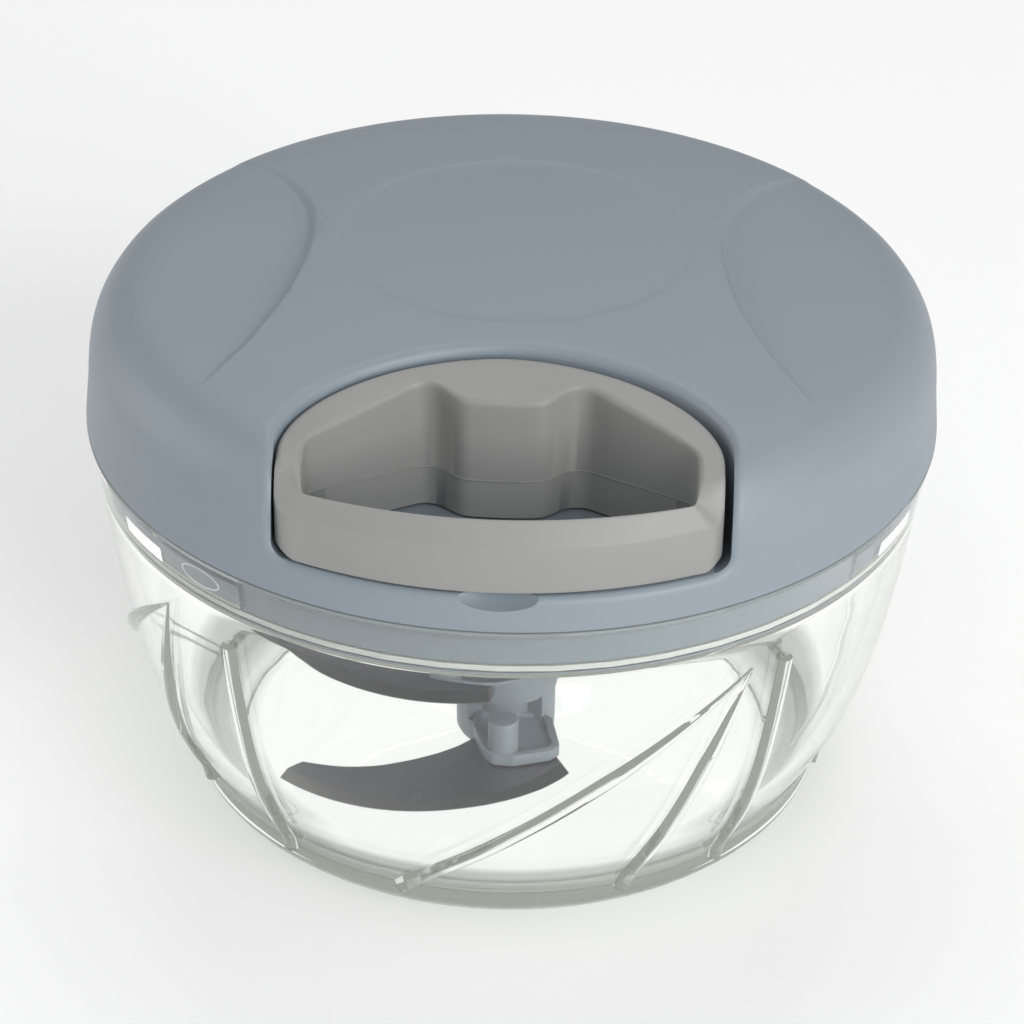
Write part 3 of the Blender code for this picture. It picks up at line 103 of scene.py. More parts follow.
scene = bpy.context.scene
scene.view_settings.view_transform = 'Standard'
world = bpy.data.worlds.new("pale_room")
scene.world = world
world.use_nodes = True
background = world.node_tree.nodes["Background"]
background.inputs["Color"].default_value = (1.0, 1.0, 1.0, 1.0)
background.inputs["Strength"].default_value = WORLD_LEVEL

for side, place, watts in SOFT_BOXES:
    place = Vector(place) * MM
    bpy.ops.object.light_add(type='AREA', location=place)
    lamp = bpy.context.object
    lamp.name = "soft_box_" + side
    lamp.data.shape = 'SQUARE'
    lamp.data.size = SOFT_BOX_SIZE
    lamp.data.energy = watts
    lamp.rotation_euler = (place - AIM_POINT).to_track_quat('Z', 'Y').to_euler()
print("soft boxes:", len(SOFT_BOXES))

# %% [markdown]
# Materials are small node trees. These helpers set a shader's own sockets, and add the fine
# unevenness that moulded plastic shows: a bump far too small to see as relief, which
# only breaks up the reflections. A grain is given by its scale, strength and depth in metres.

# %% Material helpers
def node(material, kind, **values):
    made = material.node_tree.nodes.new(kind)
    for socket, value in values.items():
        made.inputs[socket].default_value = value
    return made


def link(source, socket):
    socket.id_data.links.new(source, socket)


def object_point(material):
    return node(material, "ShaderNodeTexCoord").outputs["Object"]


def noise(material, scale, detail=2.0):
    """Noise on object coordinates, which stays with a piece that moves."""
    made = node(material, "ShaderNodeTexNoise", Scale=scale, Detail=detail)
    link(object_point(material), made.inputs["Vector"])
    return made.outputs["Fac"]


def shader_of(name, colour, roughness, grain=None, metallic=0.0):
    """A new material whose surface is one Principled shader, with a grain as its bump."""
    made = bpy.data.materials.new(name)
    made.use_nodes = True
    shader = made.node_tree.nodes["Principled BSDF"]
    shader.inputs["Base Color"].default_value = (*colour, 1.0)
    shader.inputs["Roughness"].default_value = roughness
    shader.inputs["Metallic"].default_value = metallic
    if grain:
        scale, strength, depth = grain
        bump = node(made, "ShaderNodeBump", Strength=strength, Distance=depth)
        link(noise(made, scale, 3.0), bump.inputs["Height"])
        link(bump.outputs["Normal"], shader.inputs["Normal"])
    print("finish:", made.name, "roughness", roughness)
    return made, shader


def vary(material, shader, socket, low, high, scale):
    """Let one socket drift between two values over the surface."""
    span = node(material, "ShaderNodeMapRange", **{"To Min": low, "To Max": high})
    link(noise(material, scale), span.inputs["Value"])
    link(span.outputs["Result"], shader.inputs[socket])


def tint(material, shader, first, second, scale, share=1.0):
    """Blend two close colours over the surface in slow, wide patches."""
    ramp = node(material, "ShaderNodeValToRGB")
    stops = ramp.color_ramp.elements
    for stop, side, colour in zip(stops, (-0.25, 0.25), (first, second)):
        stop.position = 0.5 + side * share
        stop.color = (*colour, 1.0)
    link(noise(material, scale), ramp.inputs["Fac"])
    link(ramp.outputs["Color"], shader.inputs["Base Color"])

# %% [markdown]
# The lid is moulded in a satin blue-grey plastic. Its colour hardly changes, but a close
# look finds slow shifts of tone and a very fine spark-eroded grain from the mould. The hub and
# the inner cover are of the same plastic, in a copy that is a little darker: painted shade for
# these pieces under the lid and inside the bowl.

# %% Lid plastic
MOULD_GRAIN = (2600.0, 0.10, 0.00006)

lid_plastic, shader = shader_of("lid_plastic", (0.212, 0.251, 0.286), 0.46, MOULD_GRAIN)
tint(lid_plastic, shader, (0.207, 0.246, 0.282), (0.218, 0.257, 0.291), 14.0)
vary(lid_plastic, shader, "Roughness", 0.42, 0.52, 60.0)
# A darker copy of the lid's plastic: painted shade for the hub and the inner cover.
lid_plastic_shaded, shader = shader_of("lid_plastic_shaded", (0.180, 0.214, 0.245), 0.46, MOULD_GRAIN)
tint(lid_plastic_shaded, shader, (0.176, 0.210, 0.241), (0.186, 0.220, 0.250), 14.0)
# A painted highlight for the fine beads on the lugs: a pale finish on their faces.
bead_painted_highlight, shader = shader_of("bead_painted_highlight", (0.62, 0.66, 0.68), 0.40, MOULD_GRAIN)

# %% [markdown]
# The handle is a warmer, lighter grey in a softer plastic, with a duller surface.

# %% Handle plastic
handle_plastic, shader = shader_of("handle_plastic", (0.255, 0.254, 0.249), 0.50,
                                   (2200.0, 0.14, 0.00006))
tint(handle_plastic, shader, (0.248, 0.247, 0.242), (0.263, 0.262, 0.257), 30.0)
vary(handle_plastic, shader, "Roughness", 0.44, 0.56, 90.0)

# %% [markdown]
# The bowl is clear styrene plastic. It bends light as glass does, a little more strongly. Three
# things are added to the plain shader. Lamps shine through it, which a pure glass shader
# doesn't allow. Light that has been thrown about inside the thick parts comes out as an even
# pale olive, where a renderer gives up and leaves black. And painted shade: the ring under the
# foot, the fillet round the floor and the wall just above it get a painted olive shade, and the
# lip of the rim a painted grey-green shade, in place of the shade that light bent and reflected
# in these thick parts gives.

# %% Painted shade bands in the clear plastic
# The olive and the grey-green colours are painted shade, laid on the bowl as diffuse layers.
OLIVE_SHADE_COLOUR, LIP_SHADE_COLOUR = (0.29, 0.31, 0.27), (0.25, 0.29, 0.29)
SPENT_COLOUR, PASSING_COLOUR = (0.33, 0.35, 0.31), (0.92, 0.93, 0.91)
# Each band is full where its ramps are, which run over heights and distances from the axis.
LIP_HEIGHTS, LIP_SHARE = (59.4 * MM, 59.8 * MM), 0.85
FOOT_HEIGHTS, FOOT_SHARE = (2.4 * MM, 0.6 * MM), 0.04
FOOT_REACH = (40.8 * MM, 41.6 * MM)
FILLET_HEIGHTS, FILLET_SHARE = (2.3 * MM, 2.6 * MM), 0.34
FILLET_START, FILLET_END = (38.4 * MM, 40.6 * MM), (46.4 * MM, 45.6 * MM)
WALL_START, WALL_SHARE = (3.6 * MM, 5.0 * MM), 0.36
WALL_END = (12.2 * MM, 10.6 * MM)

clear_plastic, clear_shader = shader_of("clear_plastic", (0.975, 0.985, 0.965), 0.015)
clear_shader.inputs["Transmission Weight"].default_value = 1.0
clear_shader.inputs["IOR"].default_value = 1.53


def fed(made, parts):
    """A node whose first sockets are set from numbers or linked to outputs."""
    for socket, part in zip(made.inputs, parts):
        if isinstance(part, float):
            socket.default_value = part
        else:
            link(part, socket)
    return made.outputs[0]


def mixed(material, *parts):
    """Mix two shaders: the share of the second, the first and the second."""
    return fed(node(material, "ShaderNodeMixShader"), parts)


def surface(material, body):
    link(body, material.node_tree.nodes["Material Output"].inputs["Surface"])


def reckon(operation, *parts):
    made = node(clear_plastic, "ShaderNodeMath")
    made.operation = operation
    return fed(made, parts)


def ramped(value, start, end, top=1.0):
    """Rise from 0 at the start to a top value at the end."""
    span = node(clear_plastic, "ShaderNodeMapRange",
                **{"From Min": start, "From Max": end, "To Max": top})
    link(value, span.inputs["Value"])
    return span.outputs["Result"]


def band(first, *others):
    share = ramped(*first)
    for ramp in others:
        share = reckon('MULTIPLY', share, ramped(*ramp))
    return share


apart = node(clear_plastic, "ShaderNodeSeparateXYZ")
link(object_point(clear_plastic), apart.inputs["Vector"])
height = apart.outputs["Z"]
flat = node(clear_plastic, "ShaderNodeCombineXYZ")
for axis in "XY":
    link(apart.outputs[axis], flat.inputs[axis])
length = node(clear_plastic, "ShaderNodeVectorMath")
length.operation = 'LENGTH'
link(flat.outputs["Vector"], length.inputs[0])
reach = length.outputs["Value"]
foot_shade_band = band((height, *FOOT_HEIGHTS, FOOT_SHARE), (reach, *FOOT_REACH))
fillet_shade_band = band((height, *FILLET_HEIGHTS, FILLET_SHARE), (reach, *FILLET_START),
                   (reach, *FILLET_END))
wall_shade_band = band((height, *WALL_START, WALL_SHARE), (height, *WALL_END))
# The share of the painted olive shade: the foot ring, the floor's fillet and the low wall.
olive = reckon('ADD', foot_shade_band, reckon('ADD', fillet_shade_band, wall_shade_band))

# %% [markdown]
# The layers are stacked one on the other: the plain shader, the two painted shades, the even
# glow of spent light, which is light after too many reflections or crossings, and the open way
# for the lamps.

# %% Clear plastic
REFLECTIONS = 1.5
CROSSINGS = 8.5

path = node(clear_plastic, "ShaderNodeLightPath").outputs
spent = reckon('MAXIMUM', reckon('GREATER_THAN', path["Glossy Depth"], REFLECTIONS),
               reckon('GREATER_THAN', path["Ray Depth"], CROSSINGS))
body = clear_shader.outputs["BSDF"]
# The first two layers are painted shade: the olive and the grey-green diffuse tones.
for share, kind, colour in [
        (olive, "BsdfDiffuse", OLIVE_SHADE_COLOUR),
        (ramped(height, *LIP_HEIGHTS, LIP_SHARE), "BsdfDiffuse", LIP_SHADE_COLOUR),
        (spent, "Emission", SPENT_COLOUR),
        (path["Is Shadow Ray"], "BsdfTransparent", PASSING_COLOUR)]:
    layer = node(clear_plastic, "ShaderNode" + kind, Color=(*colour, 1.0))
    body = mixed(clear_plastic, share, body, layer.outputs[0])
surface(clear_plastic, body)

# A painted highlight: a pale finish that glows a little, for the outer face of each track's empty
# part.
groove_painted_highlight, shader = shader_of("groove_painted_highlight", (0.90, 0.92, 0.90), 0.30,
                                  (1500.0, 0.05, 0.00005))
shader.inputs["Emission Color"].default_value = (1.0, 1.0, 1.0, 1.0)
shader.inputs["Emission Strength"].default_value = 0.40

# %% [markdown]
# The blades are thin spring steel, tempered dark, which leaves blue, green and purple
# tints in slow bands, and ground along the leading edge.

# %% Steel, small metal parts, white plastic, cord and silicone
blade_steel, shader = shader_of("blade_steel", (0.19, 0.19, 0.20), 0.30,
                                (900.0, 0.10, 0.00005), 1.0)
tint(blade_steel, shader, (0.12, 0.18, 0.23), (0.25, 0.20, 0.23), 55.0, 0.7)
vary(blade_steel, shader, "Roughness", 0.22, 0.38, 120.0)
ground_steel, shader = shader_of("ground_steel", (0.12, 0.12, 0.12), 0.36,
                                 (1800.0, 0.20, 0.00004), 1.0)
bright_steel, shader = shader_of("bright_steel", (0.62, 0.62, 0.63), 0.28,
                                 (1200.0, 0.08, 0.00004), 1.0)
white_plastic, shader = shader_of("white_plastic", (0.72, 0.72, 0.70), 0.42,
                                  (1800.0, 0.10, 0.00005))
cord_fibre, shader = shader_of("cord_fibre", (0.74, 0.73, 0.70), 0.85, (3200.0, 0.55, 0.00020))
silicone, shader = shader_of("silicone", (0.70, 0.72, 0.70), 0.55, (1500.0, 0.05, 0.00005))
shader.inputs["Transmission Weight"].default_value = 0.35
print("finishes:", len(bpy.data.materials))

# %% [markdown]
# The floor is a wide pale sheet. What the eye sees of it directly keeps the chopper's
# shadow, softened by a share of plain glow. What is seen through the clear bowl is a bright
# sheet, as in a studio where the light comes from all round.

# %% Floor
FLOOR_HALF = 3000 * MM
FLOOR_COLOUR, FLOOR_ROUGHNESS = (0.94, 0.94, 0.94), 0.9
THROUGH_LEVEL = 1.10
HAZE_LEVEL, HAZE_SHARE = 1.0, 0.08

bpy.ops.mesh.primitive_plane_add(size=2 * FLOOR_HALF, location=(0.0, 0.0, 0.0))
floor = bpy.context.object
floor.name = "floor"
floor_finish, shader = shader_of("floor_finish", FLOOR_COLOUR, FLOOR_ROUGHNESS)
shader.inputs["Specular IOR Level"].default_value = 0.0
haze = node(floor_finish, "ShaderNodeEmission", Strength=HAZE_LEVEL)
body = mixed(floor_finish, HAZE_SHARE, shader.outputs["BSDF"], haze.outputs["Emission"])
path = node(floor_finish, "ShaderNodeLightPath").outputs
seen = node(floor_finish, "ShaderNodeEmission", Strength=THROUGH_LEVEL)
body = mixed(floor_finish, path["Is Transmission Ray"], body, seen.outputs["Emission"])
surface(floor_finish, body)
floor.data.materials.append(floor_finish)

# %% [markdown]
# Most pieces start as an outline that is traced point by point from one vertex, and is then
# spun or extruded. These helpers hold the edit-mode steps. Everything is deselected first,
# because an operator acts on all that is selected.

# %% Modelling helpers
def deselect():
    bpy.ops.object.select_all(action='DESELECT')


def named(name):
    made = bpy.context.object
    made.name = made.data.name = name
    return made


def extrude(way):
    bpy.ops.mesh.extrude_region_move(TRANSFORM_OT_translate={"value": way})


def merge_doubles(distance):
    """Select all in edit mode, and merge vertices that are closer than a distance in mm."""
    bpy.ops.mesh.select_all(action='SELECT')
    bpy.ops.mesh.remove_doubles(threshold=distance * MM)


def trace(name, points, closed=False):
    """Extrude a vertex along points, and leave the outline selected in edit mode."""
    points = [Vector(point) for point in points]
    deselect()
    bpy.ops.mesh.primitive_plane_add(size=MM)
    made = named(name)
    bpy.ops.object.mode_set(mode='EDIT')
    bpy.ops.mesh.merge(type='CENTER')
    bpy.ops.transform.translate(value=points[0])
    for here, there in zip(points, points[1:] + (points[:1] if closed else [])):
        extrude(there - here)
    merge_doubles(0.001)
    return made


def close_up():
    """Merge doubles and turn the faces outwards, then leave edit mode."""
    merge_doubles(0.002)
    bpy.ops.mesh.normals_make_consistent(inside=False)
    bpy.ops.object.mode_set(mode='OBJECT')


def lathe(name, outline, steps=192, closed=False):
    """Spin an outline of (radius, height) about the vertical axis."""
    made = trace(name, [(radius, 0.0, height) for radius, height in outline], closed)
    bpy.ops.mesh.spin(steps=steps, angle=2 * math.pi, center=(0, 0, 0), axis=(0, 0, 1))
    close_up()
    return made


def prism(name, outline, bottom, top):
    """Raise a flat outline into a solid. Its bottom may be a function of (x, y)."""
    made = trace(name, [(x, y, 0.0) for x, y in outline], closed=True)
    bpy.ops.mesh.edge_face_add()
    extrude((0, 0, 1.0))
    close_up()
    for vertex in made.data.vertices:
        height = top if vertex.co.z > 0.5 else bottom
        vertex.co.z = height(vertex.co.x, vertex.co.y) if callable(height) else height
    return made


def active(made):
    deselect()
    made.select_set(True)
    bpy.context.view_layer.objects.active = made


def modify(made, kind, **values):
    """Add a modifier with its settings, and apply it at once."""
    step = made.modifiers.new(kind, kind)
    for key, value in values.items():
        setattr(step, key, value)
    active(made)
    bpy.ops.object.modifier_apply(modifier=step.name)


def combine(made, other, operation='DIFFERENCE'):
    """Take another solid away, or unite the two."""
    modify(made, 'BOOLEAN', operation=operation, solver='EXACT', object=other)
    bpy.data.objects.remove(other, do_unlink=True)


def soften(made, width, segments, angle=35.0):
    """Round all edges that are sharper than an angle."""
    modify(made, 'BEVEL', width=width, segments=segments, limit_method='ANGLE',
           angle_limit=math.radians(angle), miter_outer='MITER_ARC')


def smooth_shade(made, angle=30.0):
    active(made)
    bpy.ops.object.shade_smooth_by_angle(angle=math.radians(angle))


def dress(made, finish, body, slot, *nodes):
    """Give a finished piece its material, its body and the nodes that it stands for."""
    made.data.materials.clear()
    made.data.materials.append(finish)
    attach(made, body)
    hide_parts(*nodes)
    print(made.name, "faces:", len(made.data.polygons))


def second_finish(made, finish, chosen):
    """Give a second material to the faces that a test picks."""
    made.data.materials.append(finish)
    picked = [face for face in made.data.polygons if chosen(face)]
    for face in picked:
        face.material_index = 1
    print(made.name, "faces in the second finish:", len(picked))

# %% [markdown]
# Outlines are worked out by a few small formulas: arcs, rounded corners, smooth curves
# through measured points, and a wall's inner side at a distance from its outer side.

# %% Outline helpers
def polar(radius, azimuth, centre=(0.0, 0.0)):
    angle = math.radians(azimuth)
    return (centre[0] + radius * math.cos(angle), centre[1] + radius * math.sin(angle))


def arc(radius, first, last, count, centre=(0.0, 0.0)):
    return [polar(radius, first + (last - first) * i / (count - 1), centre) for i in range(count)]


def clamp(value):
    return max(0.0, min(1.0, value))


def ease(value):
    value = clamp(value)
    return value * value * (3.0 - 2.0 * value)


def between(first, last, share):
    return first + (last - first) * share


def turn_between(before, here, after, reach, steps):
    """A rounded corner: a curve that starts and ends at a distance from the corner."""
    before, here, after = Vector(before), Vector(here), Vector(after)
    start, end = (here + (side - here).normalized() * reach for side in (before, after))
    shares = [i / steps for i in range(steps + 1)]
    return [tuple(start * (1 - t) ** 2 + here * 2 * t * (1 - t) + end * t * t) for t in shares]


def smooth_curve(points, count):
    """A smooth curve through points, with a number of steps between each two."""
    ends = [Vector(point) for point in (points[0], *points, points[-1])]
    curve = []
    for a, b, c, d in zip(ends, ends[1:], ends[2:], ends[3:]):
        for i in range(count):
            t = i / count
            curve.append(tuple(0.5 * (2 * b + (c - a) * t + (2 * a - 5 * b + 4 * c - d) * t * t
                                      + (3 * b - a - 3 * c + d) * t ** 3)))
    curve.append(tuple(points[-1]))
    return curve


def soft_corners(corners, count=4):
    """An outline of (x, y, radius of the corner) with its corners rounded."""
    outline = []
    for i, (x, y, radius) in enumerate(corners):
        if radius == 0.0:
            outline.append((x, y))
            continue
        last, here, following = corners[i - 1][:2], (x, y), corners[(i + 1) % len(corners)][:2]
        before, after = Vector(last) - Vector(here), Vector(following) - Vector(here)
        half = before.angle(after) / 2
        reach = min(radius / math.tan(half), before.length * 0.49, after.length * 0.49)
        outline += turn_between(last, here, following, reach, count)
    return outline


def inset(outline, distance):
    """An outline of (radius, height) moved inwards by a distance."""
    moved = []
    for i, (radius, height) in enumerate(outline):
        before = Vector(outline[max(i - 1, 0)])
        after = Vector(outline[min(i + 1, len(outline) - 1)])
        along = (after - before).normalized()
        moved.append((radius + along.y * distance, height - along.x * distance))
    return moved


def spaced(points, count):
    """Points at even distances along a line of points, both ends included."""
    points = [Vector(point) for point in points]
    reach = [0.0]
    for a, b in zip(points, points[1:]):
        reach.append(reach[-1] + (b - a).length)
    result, k = [], 0
    for i in range(count):
        goal = reach[-1] * i / (count - 1)
        while k < len(reach) - 2 and reach[k + 1] < goal:
            k += 1
        span = reach[k + 1] - reach[k]
        share = (goal - reach[k]) / span if span else 0.0
        result.append(tuple(points[k].lerp(points[k + 1], min(1.0, share))))
    return result

# %% [markdown]
# A grid primitive is the start of every surface that a lathe can't make. Its rows are laid
# along rings of points, and the last column meets the first, so it closes round like a sleeve.

# %% Sleeves from a grid
def sleeve(name, rings, loop=False):
    """A closed solid through rings of equally many points, or a ring of rings."""
    rows = list(rings) + ([rings[0]] if loop else [])
    deselect()
    bpy.ops.mesh.primitive_grid_add(x_subdivisions=len(rings[0]), y_subdivisions=len(rows) - 1,
                                    size=1)
    made = named(name)
    places = [value for ring in rows for point in list(ring) + [ring[0]] for value in point]
    made.data.vertices.foreach_set("co", places)
    bpy.ops.object.mode_set(mode='EDIT')
    merge_doubles(0.0005)
    if not loop:
        bpy.ops.mesh.select_all(action='DESELECT')
        bpy.ops.mesh.select_non_manifold(extend=False)
        bpy.ops.mesh.fill_holes(sides=0)
    close_up()
    return made

# %% [markdown]
# The bowl is a turned shape: a chamfered rim, a wall that curves in towards a foot, a
# small fillet between wall and floor, and a pin for the hub. Inside the rim is a wider seat for
# the lid, with three grooves for its lugs.

# %% Bowl outline
RIM_RADIUS = 62.5
BOWL_HEIGHT = 60.1
BOWL_WALL = 2.3
OUTSIDE = [(61.3, 54.0), (60.4, 48.0), (59.4, 41.0), (58.0, 33.0), (56.2, 25.0), (53.9, 18.0),
           (51.1, 12.0), (49.0, 8.0), (48.1, 5.1), (47.9, 3.0), (46.0, 1.0)]
FOOT_EDGE = (43.75, 0.0)
SEAT_RADIUS = 59.9
SEAT_BOTTOM = 51.6
FLOOR_FLAT = 37.5
FLOOR_TOP = 2.6
FILLET_TOP = 12.0
PIN_RADIUS, PIN_TOP = 2.5, 13.4


def metres(points):
    return [tuple(value * MM for value in point) for point in points]


outside = smooth_curve([(RIM_RADIUS, 59.7)] + OUTSIDE + [FOOT_EDGE], 5)
wall = [point for point in inset(outside, BOWL_WALL) if FILLET_TOP < point[1] < SEAT_BOTTOM]
foot = wall[-1]
fillet = smooth_curve([(FLOOR_FLAT, FLOOR_TOP), (41.5, 3.5), (45.4, 6.3), foot], 4)[:-1]
pin = [(0.0, PIN_TOP), (1.2, PIN_TOP), (1.9, PIN_TOP - 0.2), (2.3, PIN_TOP - 0.7),
       (PIN_RADIUS, 12.2), (PIN_RADIUS, 3.4), (2.8, 2.8), (3.3, FLOOR_TOP)]
rim = [(SEAT_RADIUS, SEAT_BOTTOM), (SEAT_RADIUS, 59.6), (60.1, 60.0), (60.4, BOWL_HEIGHT),
       (61.9, BOWL_HEIGHT), (62.3, 59.98)]
under = [(41.6, 0.0), (41.2, 0.2), (41.0, 0.6), (0.0, 0.6)]
ledge = [(wall[0][0], SEAT_BOTTOM)]
bowl = lathe("bowl_clear", metres(pin + fillet + wall[::-1] + ledge + rim + outside + under))
print("points of the bowl's outside:", len(outside))

# %% [markdown]
# Raised ribs run down the outside: straight ones with a flat-cut upper end, and pairs that
# spring from one sharp tip like the veins of a leaf. Each is a sleeve whose rings follow
# the wall's outline, and is merged into the bowl so that light passes from one to the other.

# %% Ribs on the bowl
RIB_HALF, RIB_PROUD, RIB_ROOT = 1.25 * MM, 1.0 * MM, 0.7 * MM
# One side of a rib's section, as shares of its half width and of how far it stands proud.
RIB_SIDE = [(1.0, 0.0), (0.86, 0.45), (0.66, 0.85), (0.42, 1.0)]
RIB_FOOT, STRAIGHT_TOP, LEAF_TOP = 4.9 * MM, 46.4 * MM, 46.8 * MM
STRAIGHT_AZIMUTHS = (231.2, 311.2, 51.2, 131.2)
LEAF_AZIMUTHS = (305.6, 218.4, 125.6, 38.4)
# The sweep of the two veins of a leaf in degrees, and how far the long one bows out.
VEINS = [(13.6,), (52.3, 0.9)]
TIP_SHARE, TIP_GROWTH = 0.16, 2.2
STATIONS = 44

wall_line = metres(outside)


def wall_point(height):
    """Radius and outward slope of the bowl's outside at a height."""
    for (r0, h0), (r1, h1) in zip(wall_line, wall_line[1:]):
        if h1 <= height <= h0 and h0 > h1:
            share = (h0 - height) / (h0 - h1)
            return r0 + (r1 - r0) * share, (r0 - r1) / (h0 - h1)
    return FOOT_EDGE[0] * MM, 0.0


def rib(azimuth, top, sweep=0.0, bend=0.0):
    """A rib from its top down to the foot. One that sweeps to the side has a sharp tip."""
    rings = []
    for i in range(STATIONS):
        share = i / (STATIONS - 1)
        height = top + (RIB_FOOT - top) * share
        turn = math.radians(azimuth - sweep * share - bend * math.sin(math.pi * share))
        radius, slope = wall_point(height)
        out = Vector((math.cos(turn), math.sin(turn), -slope)).normalized()
        place = Vector((radius * math.cos(turn), radius * math.sin(turn), height))
        lean = math.radians(sweep) * radius / (top - RIB_FOOT)
        along = Vector((math.sin(turn) * lean, -math.cos(turn) * lean, -1.0)).normalized()
        across = out.cross(along).normalized()
        swell = min(1.0, TIP_SHARE + TIP_GROWTH * share) if sweep else 1.0
        half, proud = RIB_HALF * swell, RIB_PROUD * min(1.0, swell + 0.15)
        section = [(-1.0, -RIB_ROOT), (1.0, -RIB_ROOT)]
        section += [(side, rise * proud) for side, rise in RIB_SIDE]
        section += [(-side, rise * proud) for side, rise in reversed(RIB_SIDE)]
        rings.append([place + across * half * side + out * rise for side, rise in section])
    return sleeve("rib", rings)


for azimuth in STRAIGHT_AZIMUTHS:
    combine(bowl, rib(azimuth, STRAIGHT_TOP), 'UNION')
for azimuth in LEAF_AZIMUTHS:
    for vein in VEINS:
        combine(bowl, rib(azimuth, LEAF_TOP, *vein), 'UNION')
print("faces with the ribs:", len(bowl.data.polygons))

# %% [markdown]
# The grooves of the twist lock are cut into the seat: three that are open at the top, where
# the lugs go in, and from each a track that runs clockwise. In the empty part of each track the
# outer face gets a painted highlight, a pale finish that glows a little, which shows as a bright
# dash through the rim.

# %% Grooves in the seat
LUG_AZIMUTHS = (226.0, 346.0, 106.0)
LUG_HALF, LUG_PLAY = 7.6, 0.7
LOCK_TURN = 14.0
GROOVE_RADII = (58 * MM, 61.0 * MM)
GROOVE_BOTTOM, TRACK_TOP, ENTRY_TOP = 54.3 * MM, 58.5 * MM, 62.1 * MM
TRACK_SHIFT, TRACK_MORE = 0.5, 1.2
BRIGHT_INNER, BRIGHT_RADIUS = 60 * MM, 61.1 * MM
BRIGHT_HEIGHTS = (54.5 * MM, 57.0 * MM)
BRIGHT_TURN, BRIGHT_HALF = -11.75, 4.75


def sector(name, inner, outer, bottom, top, middle, half, count=16):
    """A block between two radii, over half an angle to either side of its middle."""
    outline = arc(outer, middle - half, middle + half, count)
    outline += arc(inner, middle + half, middle - half, count)
    return prism(name, outline, bottom, top)


def in_groove_painted_highlight(face):
    low, high = BRIGHT_HEIGHTS
    return (low < face.center.z < high and abs(face.normal.z) < 0.1
            and abs(face.center.xy.length - BRIGHT_RADIUS) < 0.04 * MM)


entry_half, track_half = LUG_HALF + LUG_PLAY, LOCK_TURN / 2 + TRACK_MORE
track_turn = TRACK_SHIFT - entry_half - LOCK_TURN / 2
for azimuth in LUG_AZIMUTHS:
    for name, sizes, turn, half in [
            ("entry", (*GROOVE_RADII, GROOVE_BOTTOM, ENTRY_TOP), 0.0, entry_half),
            ("track", (*GROOVE_RADII, GROOVE_BOTTOM, TRACK_TOP), track_turn, track_half),
            ("bright", (BRIGHT_INNER, BRIGHT_RADIUS, *BRIGHT_HEIGHTS), BRIGHT_TURN, BRIGHT_HALF)]:
        combine(bowl, sector(name, *sizes, azimuth + turn, half))
smooth_shade(bowl, 28.0)
dress(bowl, clear_plastic, "bowl", "clear_plastic", "bowl")
# The painted highlight goes on the groove faces that the test picks.
second_finish(bowl, groove_painted_highlight, in_groove_painted_highlight)

# %% [markdown]
# The inner cover is the plug under the lid, seen through the clear rim as a blue-grey band.
# It has a groove for the seal ring, a bearing for the reel's shaft, and three lugs with a
# moulded ring on each, whose faces get a pale painted highlight.

# %% Inner cover
COVER_OUTLINE = soft_corners([
    (59.5, 60.3, 0.2), (59.5, 53.8, 0.2), (58.2, 53.8, 0.0), (58.2, 52.3, 0.0), (59.5, 52.3, 0.1),
    (59.5, 51.9, 0.2), (57.4, 51.9, 0.2), (57.4, 54.6, 0.5), (10.0, 54.6, 0.4), (10.0, 53.6, 0.2),
    (7.2, 53.6, 0.2), (7.2, 57.6, 0.2), (10.0, 57.6, 0.2), (10.0, 56.4, 0.3), (57.4, 56.4, 0.4),
    (57.4, 60.3, 0.2)], 3)
LUG_BOTTOM, LUG_TOP = 54.6 * MM, 58.2 * MM
LUG_INNER, LUG_RADIUS, LUG_ROUND = 58.6 * MM, 60.7 * MM, 0.25 * MM
LUG_RING_TURN = 1.0
LUG_RING_HALF = (3.7 * MM, 1.5 * MM)
LUG_RING_WIRE = 0.16 * MM


def lug_ring(azimuth):
    """A fine oval bead that lies on the outside of a lug."""
    deselect()
    bpy.ops.mesh.primitive_torus_add(major_radius=LUG_RING_HALF[0], minor_radius=LUG_RING_WIRE,
                                     major_segments=64, minor_segments=8)
    made = bpy.context.object
    turn = math.radians(azimuth)
    for vertex in made.data.vertices:
        reach = math.hypot(vertex.co.x, vertex.co.y)
        squeeze = 1.0 - (LUG_RING_HALF[0] - LUG_RING_HALF[1]) / reach
        across, up, out = vertex.co.x, vertex.co.y * squeeze, vertex.co.z
        spot = turn + across / LUG_RADIUS
        vertex.co = ((LUG_RADIUS + out) * math.cos(spot), (LUG_RADIUS + out) * math.sin(spot),
                     (LUG_BOTTOM + LUG_TOP) / 2 + up)
    return made


cover = lathe("inner_cover_plug", metres(COVER_OUTLINE), closed=True)
for azimuth in LUG_AZIMUTHS:
    lug = sector("lug", LUG_INNER, LUG_RADIUS, LUG_BOTTOM, LUG_TOP, azimuth, LUG_HALF)
    soften(lug, LUG_ROUND, 2)
    combine(cover, lug, 'UNION')
    combine(cover, lug_ring(azimuth + LUG_RING_TURN), 'UNION')
smooth_shade(cover)
dress(cover, lid_plastic_shaded, "lid", "lid_plastic", "inner_cover")
# The bead's faces get the pale painted highlight.
second_finish(cover, bead_painted_highlight, lambda face: face.center.xy.length > LUG_RADIUS + 0.02 * MM)

# %% [markdown]
# The lid's dome is turned, then worked on as a designer would on a clay model. The edges of
# the pocket and of the two finger scoops are first cut into its faces as lines, which gives
# vertices exactly where the surface bends. Then the vertices are moved: down into the scoops,
# and inwards round the pocket to round its rim.

